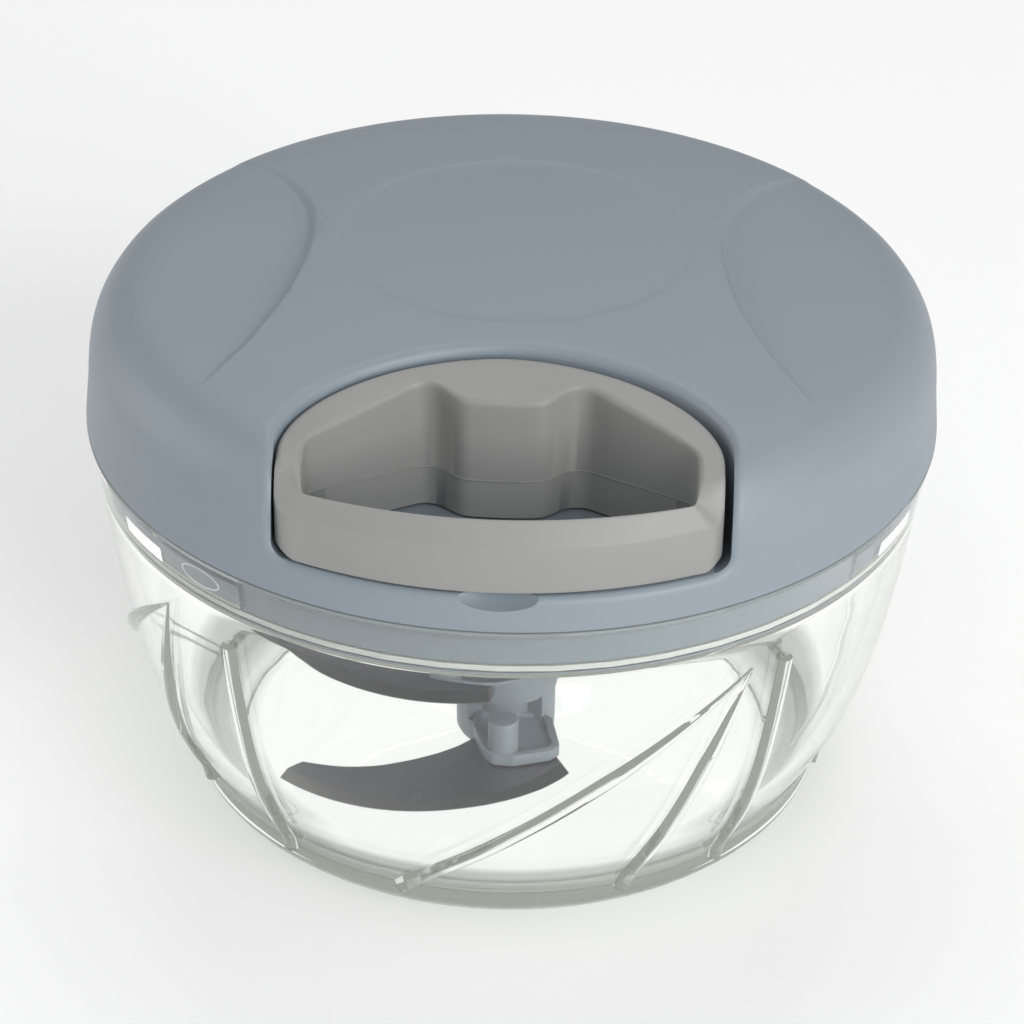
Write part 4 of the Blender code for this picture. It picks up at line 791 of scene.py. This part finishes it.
# %% Dome of the lid
LID_BOTTOM = 60.4
LID_HEIGHT = 22.6
HOLLOW_RADIUS, UNDERSIDE = 59.8, 56.7
LID_SHARES = [(0.0, 1.0), (0.176, 0.9955), (0.352, 0.978), (0.560, 0.947), (0.720, 0.916),
              (0.832, 0.885), (0.893, 0.845), (0.930, 0.779), (0.955, 0.699), (0.974, 0.602),
              (0.984, 0.496), (0.989, 0.381), (0.992, 0.248), (1.0, 0.0)]
dome_curve = smooth_curve([(r * (RIM_RADIUS * MM), (LID_BOTTOM + h * LID_HEIGHT) * MM)
                           for r, h in LID_SHARES], 5)
under = [(HOLLOW_RADIUS, LID_BOTTOM), (59.2, UNDERSIDE), (0.0, UNDERSIDE)]
lid = lathe("lid_dome", dome_curve + metres(under))
print("faces of the plain dome:", len(lid.data.polygons))

# %% [markdown]
# The pocket's outline is half of a rounded square bow. It is used several times, each time
# a little larger, so it is a function of its clearance. Its floor rises towards the front along
# the way of the handle, sags a little towards the middle, and meets the walls in a round.

# %% Pocket outline
HALF_WIDTH = 30.3
SHOULDER = 46.0
HANDLE_BACK = 24.2
ARCH_POWER = 1.8
CLEARANCE = 0.8
SLOPE = 0.168
SILL = 65.65
SAG = 1.3
POCKET_ROUND, ROUND_STEPS = 2.2, 6
POCKET_FRONT, POCKET_TOP = 72.0, 92.0
FLOOR_SHARES = (0.93, 0.82, 0.68, 0.52, 0.36, 0.2, 0.08, 0.0)
ARCH_POINTS = 49


def arch_size(clearance):
    """Half the width and the depth of the arch, in mm."""
    return HALF_WIDTH + clearance, SHOULDER - HANDLE_BACK + clearance


def arch(clearance):
    """The D outline of the handle in mm, grown by a clearance and open at its front."""
    half, depth = arch_size(clearance)
    points = [(half, -POCKET_FRONT)]
    for i in range(ARCH_POINTS + 1):
        angle = math.pi * i / ARCH_POINTS
        cosine = math.cos(angle)
        sine = math.sin(angle) if 0 < i < ARCH_POINTS else 0.0
        x = math.copysign(abs(cosine) ** (2 / ARCH_POWER), cosine)
        points.append((half * x, -SHOULDER + depth * sine ** (2 / ARCH_POWER)))
    return points + [(-half, -POCKET_FRONT)]


def pocket_floor(x, y):
    """Height of the pocket's floor at a place, all in mm."""
    return SILL - (RIM_RADIUS + y) * SLOPE + SAG * (x / HALF_WIDTH) ** 2


def pocket_solid(name, grow):
    """The pocket's space as a sleeve: its walls, the round at their foot, and the floor."""
    rounding = POCKET_ROUND + grow
    lines = [[(x, y, POCKET_TOP) for x, y in arch(CLEARANCE + grow)]]
    for i in range(ROUND_STEPS + 1):
        angle = math.pi / 2 * i / ROUND_STEPS
        rise = rounding * (1 - math.sin(angle)) - grow
        lines.append([(x, y, pocket_floor(x, y) + rise) for x, y
                      in arch(CLEARANCE + grow - rounding * (1 - math.cos(angle)))])
    for share in FLOOR_SHARES:
        lines.append([(x * share, y, pocket_floor(x * share, y) - grow) for x, y
                      in arch(CLEARANCE - POCKET_ROUND)])
    return sleeve(name, [[Vector(point) * MM for point in line] for line in lines])


print("points of the pocket's outline:", len(arch(CLEARANCE)))

# %% [markdown]
# Lines are cut with the intersect operator: a tool mesh is joined in, selected by its own
# material, intersected with the rest, and deleted again.

# %% Cutting lines into the dome
TOOL_MARK = bpy.data.materials.new("tool_mark")
SKIN_MARK = bpy.data.materials.new("skin_mark")
RIM_ROUND = 1.4
RIM_LINES = (-0.02, 0.06, 0.2, 0.42, 0.7, 1.05, 1.4)
SCOOP_REACH = 30.8
SCOOP_BACK = 11.0
SCOOP_RADII = (89.0, 31.5)
SCOOP_ANGLES = (40.0, 80.0)
SCOOP_LINES = (0.0, 0.1, 0.22, 0.42, 0.7, 1.0, 1.3)
DISC_CENTRE = (0.0, 9.0)
DISC_LINES = (25.7, 26.0, 26.3)
DISC_STEPS = 120
SCOOP_FENCE, DISC_FENCE = (70 * MM, 90 * MM), (76 * MM, 90 * MM)


def imprint(made, tool):
    """Cut the edges where a tool's surface meets a mesh, and leave the mesh whole."""
    tool.data.materials.clear()
    for mark in (SKIN_MARK, TOOL_MARK):
        tool.data.materials.append(mark)
    for face in tool.data.polygons:
        face.material_index = 1
    active(made)
    tool.select_set(True)
    bpy.ops.object.join()
    bpy.ops.object.mode_set(mode='EDIT')
    names = [slot.name for slot in made.data.materials]
    made.active_material_index = names.index(TOOL_MARK.name)
    bpy.ops.mesh.select_all(action='DESELECT')
    bpy.ops.object.material_slot_select()
    bpy.ops.mesh.intersect(mode='SELECT_UNSELECT', separate_mode='NONE', solver='FAST')
    bpy.ops.mesh.select_all(action='DESELECT')
    bpy.ops.object.material_slot_select()
    bpy.ops.mesh.delete(type='FACE')
    bpy.ops.object.mode_set(mode='OBJECT')


def fence(name, outline, bottom, top):
    """An upright wall over an outline, open above and below."""
    made = trace(name, [(x, y, bottom) for x, y in outline])
    extrude((0, 0, top - bottom))
    close_up()
    return made


lid.data.materials.append(SKIN_MARK)
for grow in RIM_LINES:
    imprint(lid, pocket_solid("rim_line", grow))
(front, back), (low, high) = SCOOP_RADII, SCOOP_ANGLES
for side in (-1, 1):
    for grow in SCOOP_LINES:
        line = arc(front + grow, 180.0 + low, 180.0, 60, (SCOOP_REACH + front, SCOOP_BACK))[:-1]
        line += arc(back + grow, 180.0, 180.0 - high, 50, (SCOOP_REACH + back, SCOOP_BACK))
        line = metres([(side * x, y) for x, y in line])
        imprint(lid, fence("scoop_line", line, *SCOOP_FENCE))
for radius in DISC_LINES:
    line = [polar(radius, 360.0 * i / DISC_STEPS + 1.0, DISC_CENTRE) for i in range(DISC_STEPS + 1)]
    imprint(lid, fence("disc_line", metres(line), *DISC_FENCE))

# %% [markdown]
# Each scoop is deepest beside its inner edge and runs out towards the lid's rim. Its edge
# is a narrow step at the near end and widens to a soft band at the far end. A disc on the top,
# where the mould's gate was machined, stands down by a tenth of a millimetre.

# %% Shaping the scoops and the pocket's rim
SCOOP_DEPTH = 1.3
SCOOP_INNER = 31.0
SCOOP_OUTER = (54.5, 60.5)
SCOOP_SOFT = (0.42, 1.3)
SCOOP_ENDS = (-44.0, 46.0)
# Where the outer edge and the soft band begin to widen, and over what length.
OUTER_START, OUTER_LENGTH = 12.0, 16.0
SOFT_START, SOFT_LENGTH = -30.0, 36.0
DISC_DROP = 0.07
FREE_EDGE, SCOOP_LOW = LID_BOTTOM + 1.0, 66.0
ZONE_BACK, ZONE_HALF = -18.0, 36.0


def scoop_drop(x, y):
    """How far the surface goes down at a place, all in mm."""
    if y < SCOOP_ENDS[0] or y > SCOOP_ENDS[1]:
        return 0.0
    outer = between(*SCOOP_OUTER, ease((y - OUTER_START) / OUTER_LENGTH))
    deep = SCOOP_DEPTH * clamp((outer - math.hypot(x, y)) / (outer - SCOOP_INNER))
    radius = SCOOP_RADII[0 if y < SCOOP_BACK else 1]
    inside = radius - math.hypot(abs(x) - SCOOP_REACH - radius, y - SCOOP_BACK)
    if inside >= 0.0:
        return deep
    return deep * ease(1.0 + inside / between(*SCOOP_SOFT, clamp((y - SOFT_START) / SOFT_LENGTH)))


def disc_drop(x, y):
    reach = math.hypot(x - DISC_CENTRE[0], y - DISC_CENTRE[1])
    return DISC_DROP * ease((DISC_LINES[-1] - reach) / (DISC_LINES[-1] - DISC_LINES[0]))


pocket_line = [Vector(point) for point in arch(CLEARANCE)]


def line_distance(point):
    """Distance in mm from a point to the pocket's outline."""
    distances = []
    for a, b in zip(pocket_line, pocket_line[1:]):
        span = b - a
        share = clamp((point - a).dot(span) / span.length_squared)
        distances.append((point - a - span * share).length)
    return min(distances)


def in_pocket(x, y):
    half, depth = arch_size(CLEARANCE)
    share = abs(x) / half
    return share < 1.0 and y < -SHOULDER + depth * (1.0 - share ** ARCH_POWER) ** (1 / ARCH_POWER)


def rim_move(x, y, z):
    """How far a vertex near the pocket's rim goes inwards, all in mm."""
    beside = line_distance(Vector((x, y))) * (-1.0 if in_pocket(x, y) else 1.0)
    below = (pocket_floor(x, y) - z) * math.cos(math.atan(SLOPE))
    away = max(beside, below)
    if min(beside, below) > -POCKET_ROUND:
        away = math.hypot(beside + POCKET_ROUND, below + POCKET_ROUND) - POCKET_ROUND
    if away >= RIM_ROUND:
        return 0.0
    return RIM_ROUND - math.sqrt(RIM_ROUND ** 2 - (RIM_ROUND - max(0.0, away)) ** 2)


lid.data.update()
moves = {}
for vertex in lid.data.vertices:
    x, y, z = vertex.co / MM
    if z < FREE_EDGE:
        continue
    move = Vector((0.0, 0.0, 0.0))
    if z > SCOOP_LOW:
        move.z -= scoop_drop(x, y) + disc_drop(x, y)
    if y < ZONE_BACK and abs(x) < ZONE_HALF:
        move -= vertex.normal * rim_move(x, y, z)
    if move.length > 0.0:
        moves[vertex.index] = move * MM
for index, move in moves.items():
    lid.data.vertices[index].co += move
print("vertices moved on the dome:", len(moves))

# %% [markdown]
# Now the pocket itself is taken out, with a shallow dish for a fingertip under the handle's
# front, and the lid is hollowed. The hollow leaves the pocket's tub, four screw bosses and the
# post for the reel standing.

# %% Pocket and hollow of the lid
DISH_HALF = (6.6, 4.2, 2.6)
DISH_CENTRE = (0.0, -63.4, 66.0)
DISH_ROUND, DISH_FRONT, DISH_ANGLE, DISH_NEAR = 0.35 * MM, -58 * MM, 0.35, 0.03
LID_WALL = 2.2
TUB_WALL, TUB_FLOOR = 1.9, 1.6
SCREW_AZIMUTHS = (355.0, 55.0, 125.0, 185.0)
SCREW_CIRCLE = 49.0 * MM
BOSS_RADIUS, BOSS_BORE, BOSS_DEPTH = 3.2 * MM, 1.6 * MM, 67.7 * MM
POST_RADIUS, POST_BOTTOM, POST_DEPTH = 3.4 * MM, 66.2 * MM, 76.2 * MM
CORD_HOLE, EYELET_SEAT = (2.7 * MM, -27 * MM, -19 * MM), (3.7 * MM, -27 * MM, -23.1 * MM)
HOLLOW_BOTTOM, HOLLOW_SHOULDER, HIGH = 50 * MM, 70 * MM, POCKET_TOP * MM
CORD_LEVEL = 70.0


def rod(name, radius, depth, place, turn, vertices):
    deselect()
    bpy.ops.mesh.primitive_cylinder_add(vertices=vertices, radius=radius, depth=depth,
                                        location=place, rotation=turn)
    bpy.ops.object.transform_apply(location=True, rotation=True)
    return named(name)


def upright(name, radius, bottom, top, centre=(0.0, 0.0), vertices=48):
    return rod(name, radius, top - bottom, (*centre, (top + bottom) / 2), (0, 0, 0.03), vertices)


def along_y(name, radius, front, back, vertices=32):
    """A rod on the cord's line, between two places in front of the axis."""
    return rod(name, radius, back - front, (0.0, (front + back) / 2, CORD_LEVEL * MM),
               (math.radians(90), 0, 0), vertices)


def dish():
    """The fingertip's hollow, as a stretched ball."""
    deselect()
    bpy.ops.mesh.primitive_uv_sphere_add(segments=64, ring_count=32, radius=MM)
    made = bpy.context.object
    for vertex in made.data.vertices:
        vertex.co = [(centre * MM + part * half) for centre, part, half
                     in zip(DISH_CENTRE, vertex.co, DISH_HALF)]
    return made


def on_dish(place):
    reach = sum(((value / MM - centre) / half) ** 2 for value, centre, half
                in zip(place, DISH_CENTRE, DISH_HALF))
    return abs(reach - 1.0) < DISH_NEAR


combine(lid, pocket_solid("pocket", 0.0))
combine(lid, dish())
active(lid)
bpy.ops.object.mode_set(mode='EDIT')
bpy.ops.mesh.select_mode(type='EDGE')
bpy.ops.mesh.select_all(action='DESELECT')
work = bmesh.from_edit_mesh(lid.data)
picked = [line for line in work.edges
          if line.verts[0].co.y < DISH_FRONT and len(line.link_faces) == 2
          and all(on_dish(end.co) for end in line.verts) and line.calc_face_angle() > DISH_ANGLE]
for line in picked:
    line.select = True
bpy.ops.mesh.bevel(offset=DISH_ROUND, segments=3, affect='EDGES', clamp_overlap=True)
bpy.ops.mesh.select_mode(type='VERT')
bpy.ops.object.mode_set(mode='OBJECT')
print("edges rounded at the dish:", len(picked))

hollow_radius = HOLLOW_RADIUS * MM
core_curve = [point for point in inset(dome_curve, LID_WALL * MM) if point[0] < hollow_radius]
core_curve = [(0.0, core_curve[0][1])] + core_curve[1:]
core_curve += [(hollow_radius, core_curve[-1][1]), (hollow_radius, HOLLOW_BOTTOM),
               (0.0, HOLLOW_BOTTOM)]
core = lathe("hollow", core_curve, steps=96)
for vertex in core.data.vertices:
    if vertex.co.z > HOLLOW_SHOULDER:
        vertex.co.z -= scoop_drop(vertex.co.x / MM, vertex.co.y / MM) * MM
combine(core, prism("tub", metres(arch(CLEARANCE + TUB_WALL)),
                    lambda x, y: (pocket_floor(0.0, y / MM) - TUB_FLOOR) * MM, HIGH))
spots = [polar(SCREW_CIRCLE, azimuth) for azimuth in SCREW_AZIMUTHS]
for spot in spots:
    combine(core, upright("boss", BOSS_RADIUS, UNDERSIDE * MM, HIGH, spot))
combine(core, upright("post", POST_RADIUS, POST_BOTTOM, HIGH))
combine(lid, core)
for spot in spots:
    combine(lid, upright("boss_hole", BOSS_BORE, HOLLOW_BOTTOM, BOSS_DEPTH, spot, 16))
combine(lid, upright("post_hole", BOSS_BORE, HOLLOW_BOTTOM, POST_DEPTH, vertices=16))
combine(lid, along_y("cord_hole", *CORD_HOLE))
combine(lid, along_y("eyelet_seat", *EYELET_SEAT))
smooth_shade(lid, 32.0)
dress(lid, lid_plastic, "lid", "lid_plastic", "lid_shell")

# %% [markdown]
# The pull handle is a closed ring in plan: a bowed back bar with a soft wave for the
# fingers, two short sides and a thin front bar whose top slopes outwards. It is a sleeve that is
# closed in both directions. Each of its sections stands on a line from the outer outline to
# the finger opening.

# %% Handle outlines
FRONT_RADIUS = 61.4
NOSE_HALF_ANGLE = 25.7
GRIP_SIDE = 26.1
GRIP_BACK, GRIP_FRONT_SIDE, GRIP_FRONT = 43.6, 53.7, 58.7
WAVE_X, PEAK_X, PEAK_Y, BUMP_Y = (4.9, 9.9), 11.5, 30.9, 35.0
BUMP_SWELL = 0.25
FRONT_TURN, BACK_TURN, TURN_STEPS = 1.1, 1.5, 7
FRONT_COUNT, CORNER_COUNT, SIDE_COUNT, BACK_COUNT = 48, 8, 12, 104
HANDLE_PLAY = -0.4


def grip_back(x):
    """The wavy back of the finger opening, as a distance in front of the axis."""
    x = abs(x)
    if x < WAVE_X[1]:
        swell = BUMP_SWELL * max(0.0, 1.0 - (x / WAVE_X[0]) ** 2)
        return between(PEAK_Y, BUMP_Y, ease((WAVE_X[1] - x) / (WAVE_X[1] - WAVE_X[0]))) + swell
    return PEAK_Y + (GRIP_BACK - PEAK_Y) * max(0.0, x - PEAK_X) / (GRIP_SIDE - PEAK_X)


def even_out(values, passes):
    """Soften a list of heights by averaging neighbours, with its ends kept."""
    for _ in range(passes):
        inner = [(a + 2 * b + c) / 4 for a, b, c in zip(values, values[1:], values[2:])]
        values = [values[0]] + inner + [values[-1]]
    return values


def whole_ring(front, corner, side, back):
    """A closed outline. The right corner and side are mirrored between the front and the back."""
    right = spaced(corner, CORNER_COUNT)[1:] + spaced(side, SIDE_COUNT)[1:]
    ring = spaced(front, FRONT_COUNT) + right + spaced(back, BACK_COUNT)[1:-1]
    ring += [(-x, y) for x, y in reversed(right)]
    return [(x + HANDLE_PLAY, y) for x, y in ring]


nose = arc(FRONT_RADIUS, 270.0 - NOSE_HALF_ANGLE, 270.0 + NOSE_HALF_ANGLE, FRONT_COUNT)
turn_x, turn_y = nose[-1]
corner = HALF_WIDTH - turn_x
outer_corner = smooth_curve([(turn_x, turn_y), (turn_x + corner * 0.62, turn_y + corner * 0.30),
                             (HALF_WIDTH, turn_y + corner)], 6)
outer_side = [(HALF_WIDTH, turn_y + corner), (HALF_WIDTH, -SHOULDER)]
outer_ring = whole_ring(nose, outer_corner, outer_side, arch(0.0)[1:-1])

front_bow = GRIP_FRONT - GRIP_FRONT_SIDE
front_x = GRIP_SIDE - FRONT_TURN
inner_front = [(front_x * s, -GRIP_FRONT_SIDE - front_bow * (1 - (s * front_x / GRIP_SIDE) ** 2))
               for s in [-1 + 2 * i / 40 for i in range(41)]]
back_turn = turn_between((GRIP_SIDE, -GRIP_FRONT_SIDE), (GRIP_SIDE, -GRIP_BACK),
                         (PEAK_X, -PEAK_Y), BACK_TURN, TURN_STEPS)
inner_xs = [back_turn[-1][0] * (1 - 2 * i / 160) for i in range(161)]
inner_back = list(zip(inner_xs, even_out([-grip_back(x) for x in inner_xs], 8)))
front_turn = turn_between(inner_front[-1], (GRIP_SIDE, -GRIP_FRONT_SIDE - 0.3),
                          (GRIP_SIDE, -GRIP_BACK), FRONT_TURN, TURN_STEPS)
inner_ring = whole_ring(inner_front, [inner_front[-1]] + front_turn,
                        [front_turn[-1]] + back_turn, inner_back)
print("handle outline points:", len(outer_ring), len(inner_ring))

# %% [markdown]
# The handle's top slopes gently towards the front. Over the front bar it turns into a steeper
# face that runs from the finger opening's edge down to a crisp line on the outside. The inner
# wall leans a little, as a moulded wall does, and has a fine parting line.

# %% Handle
TOP_BACK = 81.1
TOP_SLOPE = math.tan(math.radians(7.0))
CHAMFER_FOOT, CHAMFER_LIFT = 72.8, 3.4
NOSE_FADE = (-49.6, -53.2)
# Rounds of the outer and the inner edge, at the back and at the front.
OUTER_ROUNDS, INNER_ROUNDS = (0.8, 0.18), (1.0, 0.35)
HANDLE_GAP = 0.3
DRAFT = 0.6
SPLIT_LOW, SPLIT_HIGH = 66.85, 71.5
SPLIT_SLOPES = (0.09, 0.242)
# The round of the outer wall's foot, in shares of its size, and the parting line's section.
FOOT_ROUND = [(1.0, 0.0), (0.4, 0.3), (0.1, 0.7), (0.0, 1.2)]
PART_LINE = [(0.0, 0.10), (0.16, 0.04), (0.16, -0.06), (-0.05, -0.12)]
FOOT_SIZE, FOOT_LOSS, FOOT_CORNER, FOOT_FADE = 1.6, 1.35, 30.4, 3.0
ROUND_LIMIT = 0.3
TOP_ROWS = 10
KNOT_ROOM = [(3.0, -32.7), (3.0, -26.6), (-3.0, -26.6), (-3.0, -32.7)]
KNOT_HEIGHTS = (53 * MM, 73.5 * MM)
CORD_BORE = (1.0 * MM, -28 * MM, -22 * MM)


def quarter(radius, count):
    """Points of a quarter round: how far in, and how far below the top."""
    steps = [math.pi / 2 * i / count for i in range(count + 1)]
    return [(radius * (1 - math.cos(a)), radius * (1 - math.sin(a))) for a in steps]


def handle_section(outer, inner):
    outer, inner = Vector(outer), Vector(inner)
    width = (inner - outer).length
    across = (inner - outer) / width
    front = ease((outer.y - NOSE_FADE[0]) / (NOSE_FADE[1] - NOSE_FADE[0]))
    lip = width - DRAFT * (1.0 - 0.5 * front)

    def at(reach, height):
        return Vector((*(outer + across * reach), height))

    def top(reach, drop=0.0):
        tilt = TOP_BACK + ((outer + across * reach).y + HANDLE_BACK) * TOP_SLOPE
        ruled = CHAMFER_FOOT + CHAMFER_LIFT * reach / lip
        return at(reach, tilt + (min(ruled, tilt) - tilt) * front - drop)

    base, inner_base = (pocket_floor(*place) + HANDLE_GAP for place in (outer, inner))
    slope = SPLIT_SLOPES[0 if abs(inner.x - HANDLE_PLAY) < PEAK_X else 1]
    split = min(SPLIT_HIGH, SPLIT_LOW + slope * max(0.0, -PEAK_Y - inner.y))
    round_out, round_in = (min(between(*rounds, front), lip * ROUND_LIMIT)
                           for rounds in (OUTER_ROUNDS, INNER_ROUNDS))
    foot = FOOT_SIZE - FOOT_LOSS * front * ease((FOOT_CORNER - abs(outer.x)) / FOOT_FADE)
    middle = (lip + width) / 2
    points = [at(foot * share, base + foot * rise) for share, rise in FOOT_ROUND]
    points += [top(reach, drop) for reach, drop in quarter(round_out, 4)]
    points += [top(round_out + (lip - round_out - round_in) * i / TOP_ROWS)
               for i in range(1, TOP_ROWS)]
    points += [top(lip - reach, drop) for reach, drop in reversed(quarter(round_in, 4))]
    points += [at(middle + share, split + rise) for share, rise in PART_LINE]
    points += [at(width, inner_base + 0.05), at(width - 0.15, inner_base)]
    return [point * MM for point in points]


sections = [handle_section(*pair) for pair in zip(outer_ring, inner_ring)]
handle = sleeve("pull_handle_ring", sections, loop=True)
combine(handle, prism("knot_room", metres(KNOT_ROOM), *KNOT_HEIGHTS))
combine(handle, along_y("cord_hole", *CORD_BORE, 24))
smooth_shade(handle, 40.0)
dress(handle, handle_plastic, "handle", "handle_plastic", "pull_handle")

# %% [markdown]
# The hub is one moulding: a column with the socket for the reel's dogs at its top, and at each
# blade a thin foot with a stud that holds the rivet. Beside each stud the column is cut away, which
# leaves two dark windows. The column is turned, and the rest is raised from outlines.

# %% Blade hub
HUB_OUTLINE = soft_corners([
    (0.0, 45.5, 0.0), (7.7, 45.5, 0.4), (7.7, 52.0, 0.2), (9.6, 52.0, 0.4), (9.6, 44.0, 1.0),
    (7.6, 41.0, 1.0), (7.6, 2.9, 0.4), (2.9, 2.9, 0.2), (2.9, 13.8, 0.2), (0.0, 14.7, 0.0)], 3)
BLADE_LEVELS = (4.1, 19.1, 34.1)
BLADE_TURNS = (0.0, -40.0, -165.0)
BLADE_THICK, BLADE_GAP = 1.0, 0.3
LOBE_THICK, LOBE_SINK = 2.0, 0.9
LOBE = [(5.2, -3.0, 0.0), (-4.6, -3.0, 0.0), (-4.8, -7.8, 1.5), (-3.0, -13.6, 2.0),
        (-1.6, -15.4, 1.2), (1.6, -15.7, 1.5), (7.2, -13.9, 1.2), (8.6, -12.3, 1.2),
        (7.2, -5.0, 1.0)]
SINK = [(4.4, -4.0, 0.0), (-3.4, -4.0, 0.0), (-3.6, -7.8, 1.2), (-1.9, -13.2, 1.0),
        (0.6, -14.6, 1.0), (6.6, -12.8, 0.8), (7.3, -11.6, 0.8), (6.0, -5.0, 0.8)]
SLOT = [(-15.2, -5.8), (-15.2, -22.8), (15.2, -22.8), (15.2, -5.8)]
WINDOW_RADII, WINDOW_RISE, WINDOW_SIDES = (4.6 * MM, 13 * MM), 4.2 * MM, (270.0, 48.0)
STUD_RADIUS, STUD_SINK, STUD_RISE = 2.3 * MM, 0.2 * MM, 5.2 * MM
LOBE_ROUND, STUD_ROUND, SHARP = 0.12 * MM, 0.30 * MM, 50.0
RIVET_RADIUS, RIVET_RISE, RIVET_PLACE = 1.4 * MM, 6.3, (0.0, -13.2 * MM)
KEY_RADII, KEY_HEIGHTS, KEY_HALF = (6.2 * MM, 8.1 * MM), (45.1 * MM, 50.8 * MM), 15.0
KEY_AZIMUTHS = (0.0, 180.0)


def turned(made, azimuth):
    made.data.transform(rotation(azimuth, size=4))
    return made


hub = lathe("blade_hub_moulding", metres(HUB_OUTLINE), steps=128)
for level, turn in zip(BLADE_LEVELS, BLADE_TURNS):
    base = (level + BLADE_THICK + BLADE_GAP) * MM
    head = base + LOBE_THICK * MM
    sunk = head - LOBE_SINK * MM
    window = sector("window", *WINDOW_RADII, sunk, head + WINDOW_RISE, *WINDOW_SIDES)
    combine(hub, turned(window, turn))
    lobe = prism("lobe", metres(soft_corners(LOBE, 5)), base, head)
    combine(lobe, prism("sink", metres(soft_corners(SINK, 5)), sunk, head + MM))
    soften(lobe, LOBE_ROUND, 2, SHARP)
    stud = upright("stud", STUD_RADIUS, base + STUD_SINK, head + STUD_RISE, RIVET_PLACE, 40)
    soften(stud, STUD_ROUND, 3, SHARP)
    combine(lobe, stud, 'UNION')
    combine(hub, turned(lobe, turn), 'UNION')
    hole = upright("rivet_hole", RIVET_RADIUS, base - MM, (level + RIVET_RISE) * MM,
                   RIVET_PLACE, 24)
    combine(hub, turned(hole, turn))
    combine(hub, turned(prism("slot", metres(SLOT), (level - BLADE_GAP) * MM, base), turn))
for azimuth in KEY_AZIMUTHS:
    combine(hub, sector("key", *KEY_RADII, *KEY_HEIGHTS, azimuth, KEY_HALF), 'UNION')
smooth_shade(hub, 32.0)
dress(hub, lid_plastic_shaded, "blade_unit", "lid_plastic", "blade_hub")

# %% [markdown]
# Each blade is a crescent between two arcs, ground to an edge along the outer one. Its bottom
# outline, a line just above it and the smaller top outline are the rings of a sleeve, so the
# ground strip is a face of its own and can have its own finish.

# %% Blades
BLADE_REACH = 38.95
# Radius and centre of the two arcs, and the heel, as shares of the blade's reach.
OUTER_ARC = (0.7984, -0.3613, 0.1126)
INNER_ARC = (0.7016, -0.6335, 0.2749)
HEEL = (0.1623, -0.1885)
OUTER_ENDS, INNER_ENDS = (231.0, 321.0), (318.0, 258.0)
EDGE_THICK, GROUND = 0.15, 1.7
STRIP, STRIP_TILT = 2.2, (0.2, 0.97)


def reached(shares):
    return [share * BLADE_REACH for share in shares]


def blade_ring(grind, height):
    """The crescent in mm with its outer arc set in by the width of the ground strip."""
    radius, *centre = reached(OUTER_ARC)
    outline = arc(radius - grind, *OUTER_ENDS, 72, centre)
    outline += spaced([outline[-1], reached(HEEL)], 6)[1:]
    radius, *centre = reached(INNER_ARC)
    outline += arc(radius, *INNER_ENDS, 60, centre)
    return [Vector((x, y, height)) * MM for x, y in outline]


radius, *centre = reached(OUTER_ARC)
for name, level, turn in zip(("bottom", "middle", "top"), BLADE_LEVELS, BLADE_TURNS):
    blade = sleeve("blade_" + name + "_ground", [
        blade_ring(0.0, level), blade_ring(0.0, level + EDGE_THICK),
        blade_ring(GROUND, level + BLADE_THICK)])
    combine(blade, upright("hole", RIVET_RADIUS, (level - BLADE_THICK) * MM,
                           (level + 2 * BLADE_THICK) * MM, RIVET_PLACE, 32))
    turned(blade, turn)
    smooth_shade(blade, 12.0)
    dress(blade, blade_steel, "blade_unit", "blade_steel", "blade_" + name)
    middle = rotation(turn) @ Vector((*centre, 0.0)) * MM
    second_finish(blade, ground_steel, lambda face: STRIP_TILT[0] < face.normal.z < STRIP_TILT[1]
                  and (face.center - middle).xy.length > (radius - STRIP) * MM)

# %% [markdown]
# The stretch of cord between the lid and the handle is short at rest and grows as the handle is
# pulled. It is built here at rest, as a sleeve of many rings between its two ends.

# %% Pull cord
CORD_ENDS = (-24.1, -26.9)
CORD_RADIUS = 0.70
CORD_RINGS, CORD_SIDES = 40, 24

circle = [polar(CORD_RADIUS, 360.0 * k / CORD_SIDES, (0.0, CORD_LEVEL)) for k in range(CORD_SIDES)]
places = [between(*CORD_ENDS, i / CORD_RINGS) for i in range(CORD_RINGS + 1)]
cord_run = sleeve("pull_cord_run", [[Vector((x, y, z)) * MM for x, z in circle] for y in places])
smooth_shade(cord_run, 50.0)
cord_run.data.materials.append(cord_fibre)
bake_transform(cord_run)
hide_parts("pull_cord")
print("cord rings:", len(places))

# %% [markdown]
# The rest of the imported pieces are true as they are, and only get their finishes.

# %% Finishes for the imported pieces
SLOT_FINISHES = {"lid_plastic": lid_plastic, "handle_plastic": handle_plastic,
                 "clear_plastic": clear_plastic, "blade_steel": blade_steel,
                 "bright_steel": bright_steel, "white_plastic": white_plastic,
                 "cord": cord_fibre, "silicone": silicone}
slots = {part["node"]: part["material_slot"] for part in frame["record"]["subparts"]}
for name, made in frame["nodes"].items():
    finish = SLOT_FINISHES[slots[name]]
    if made.material_slots:
        made.material_slots[0].material = finish
    else:
        made.data.materials.append(finish)
print("packed pieces with a finish:", len(frame["nodes"]))
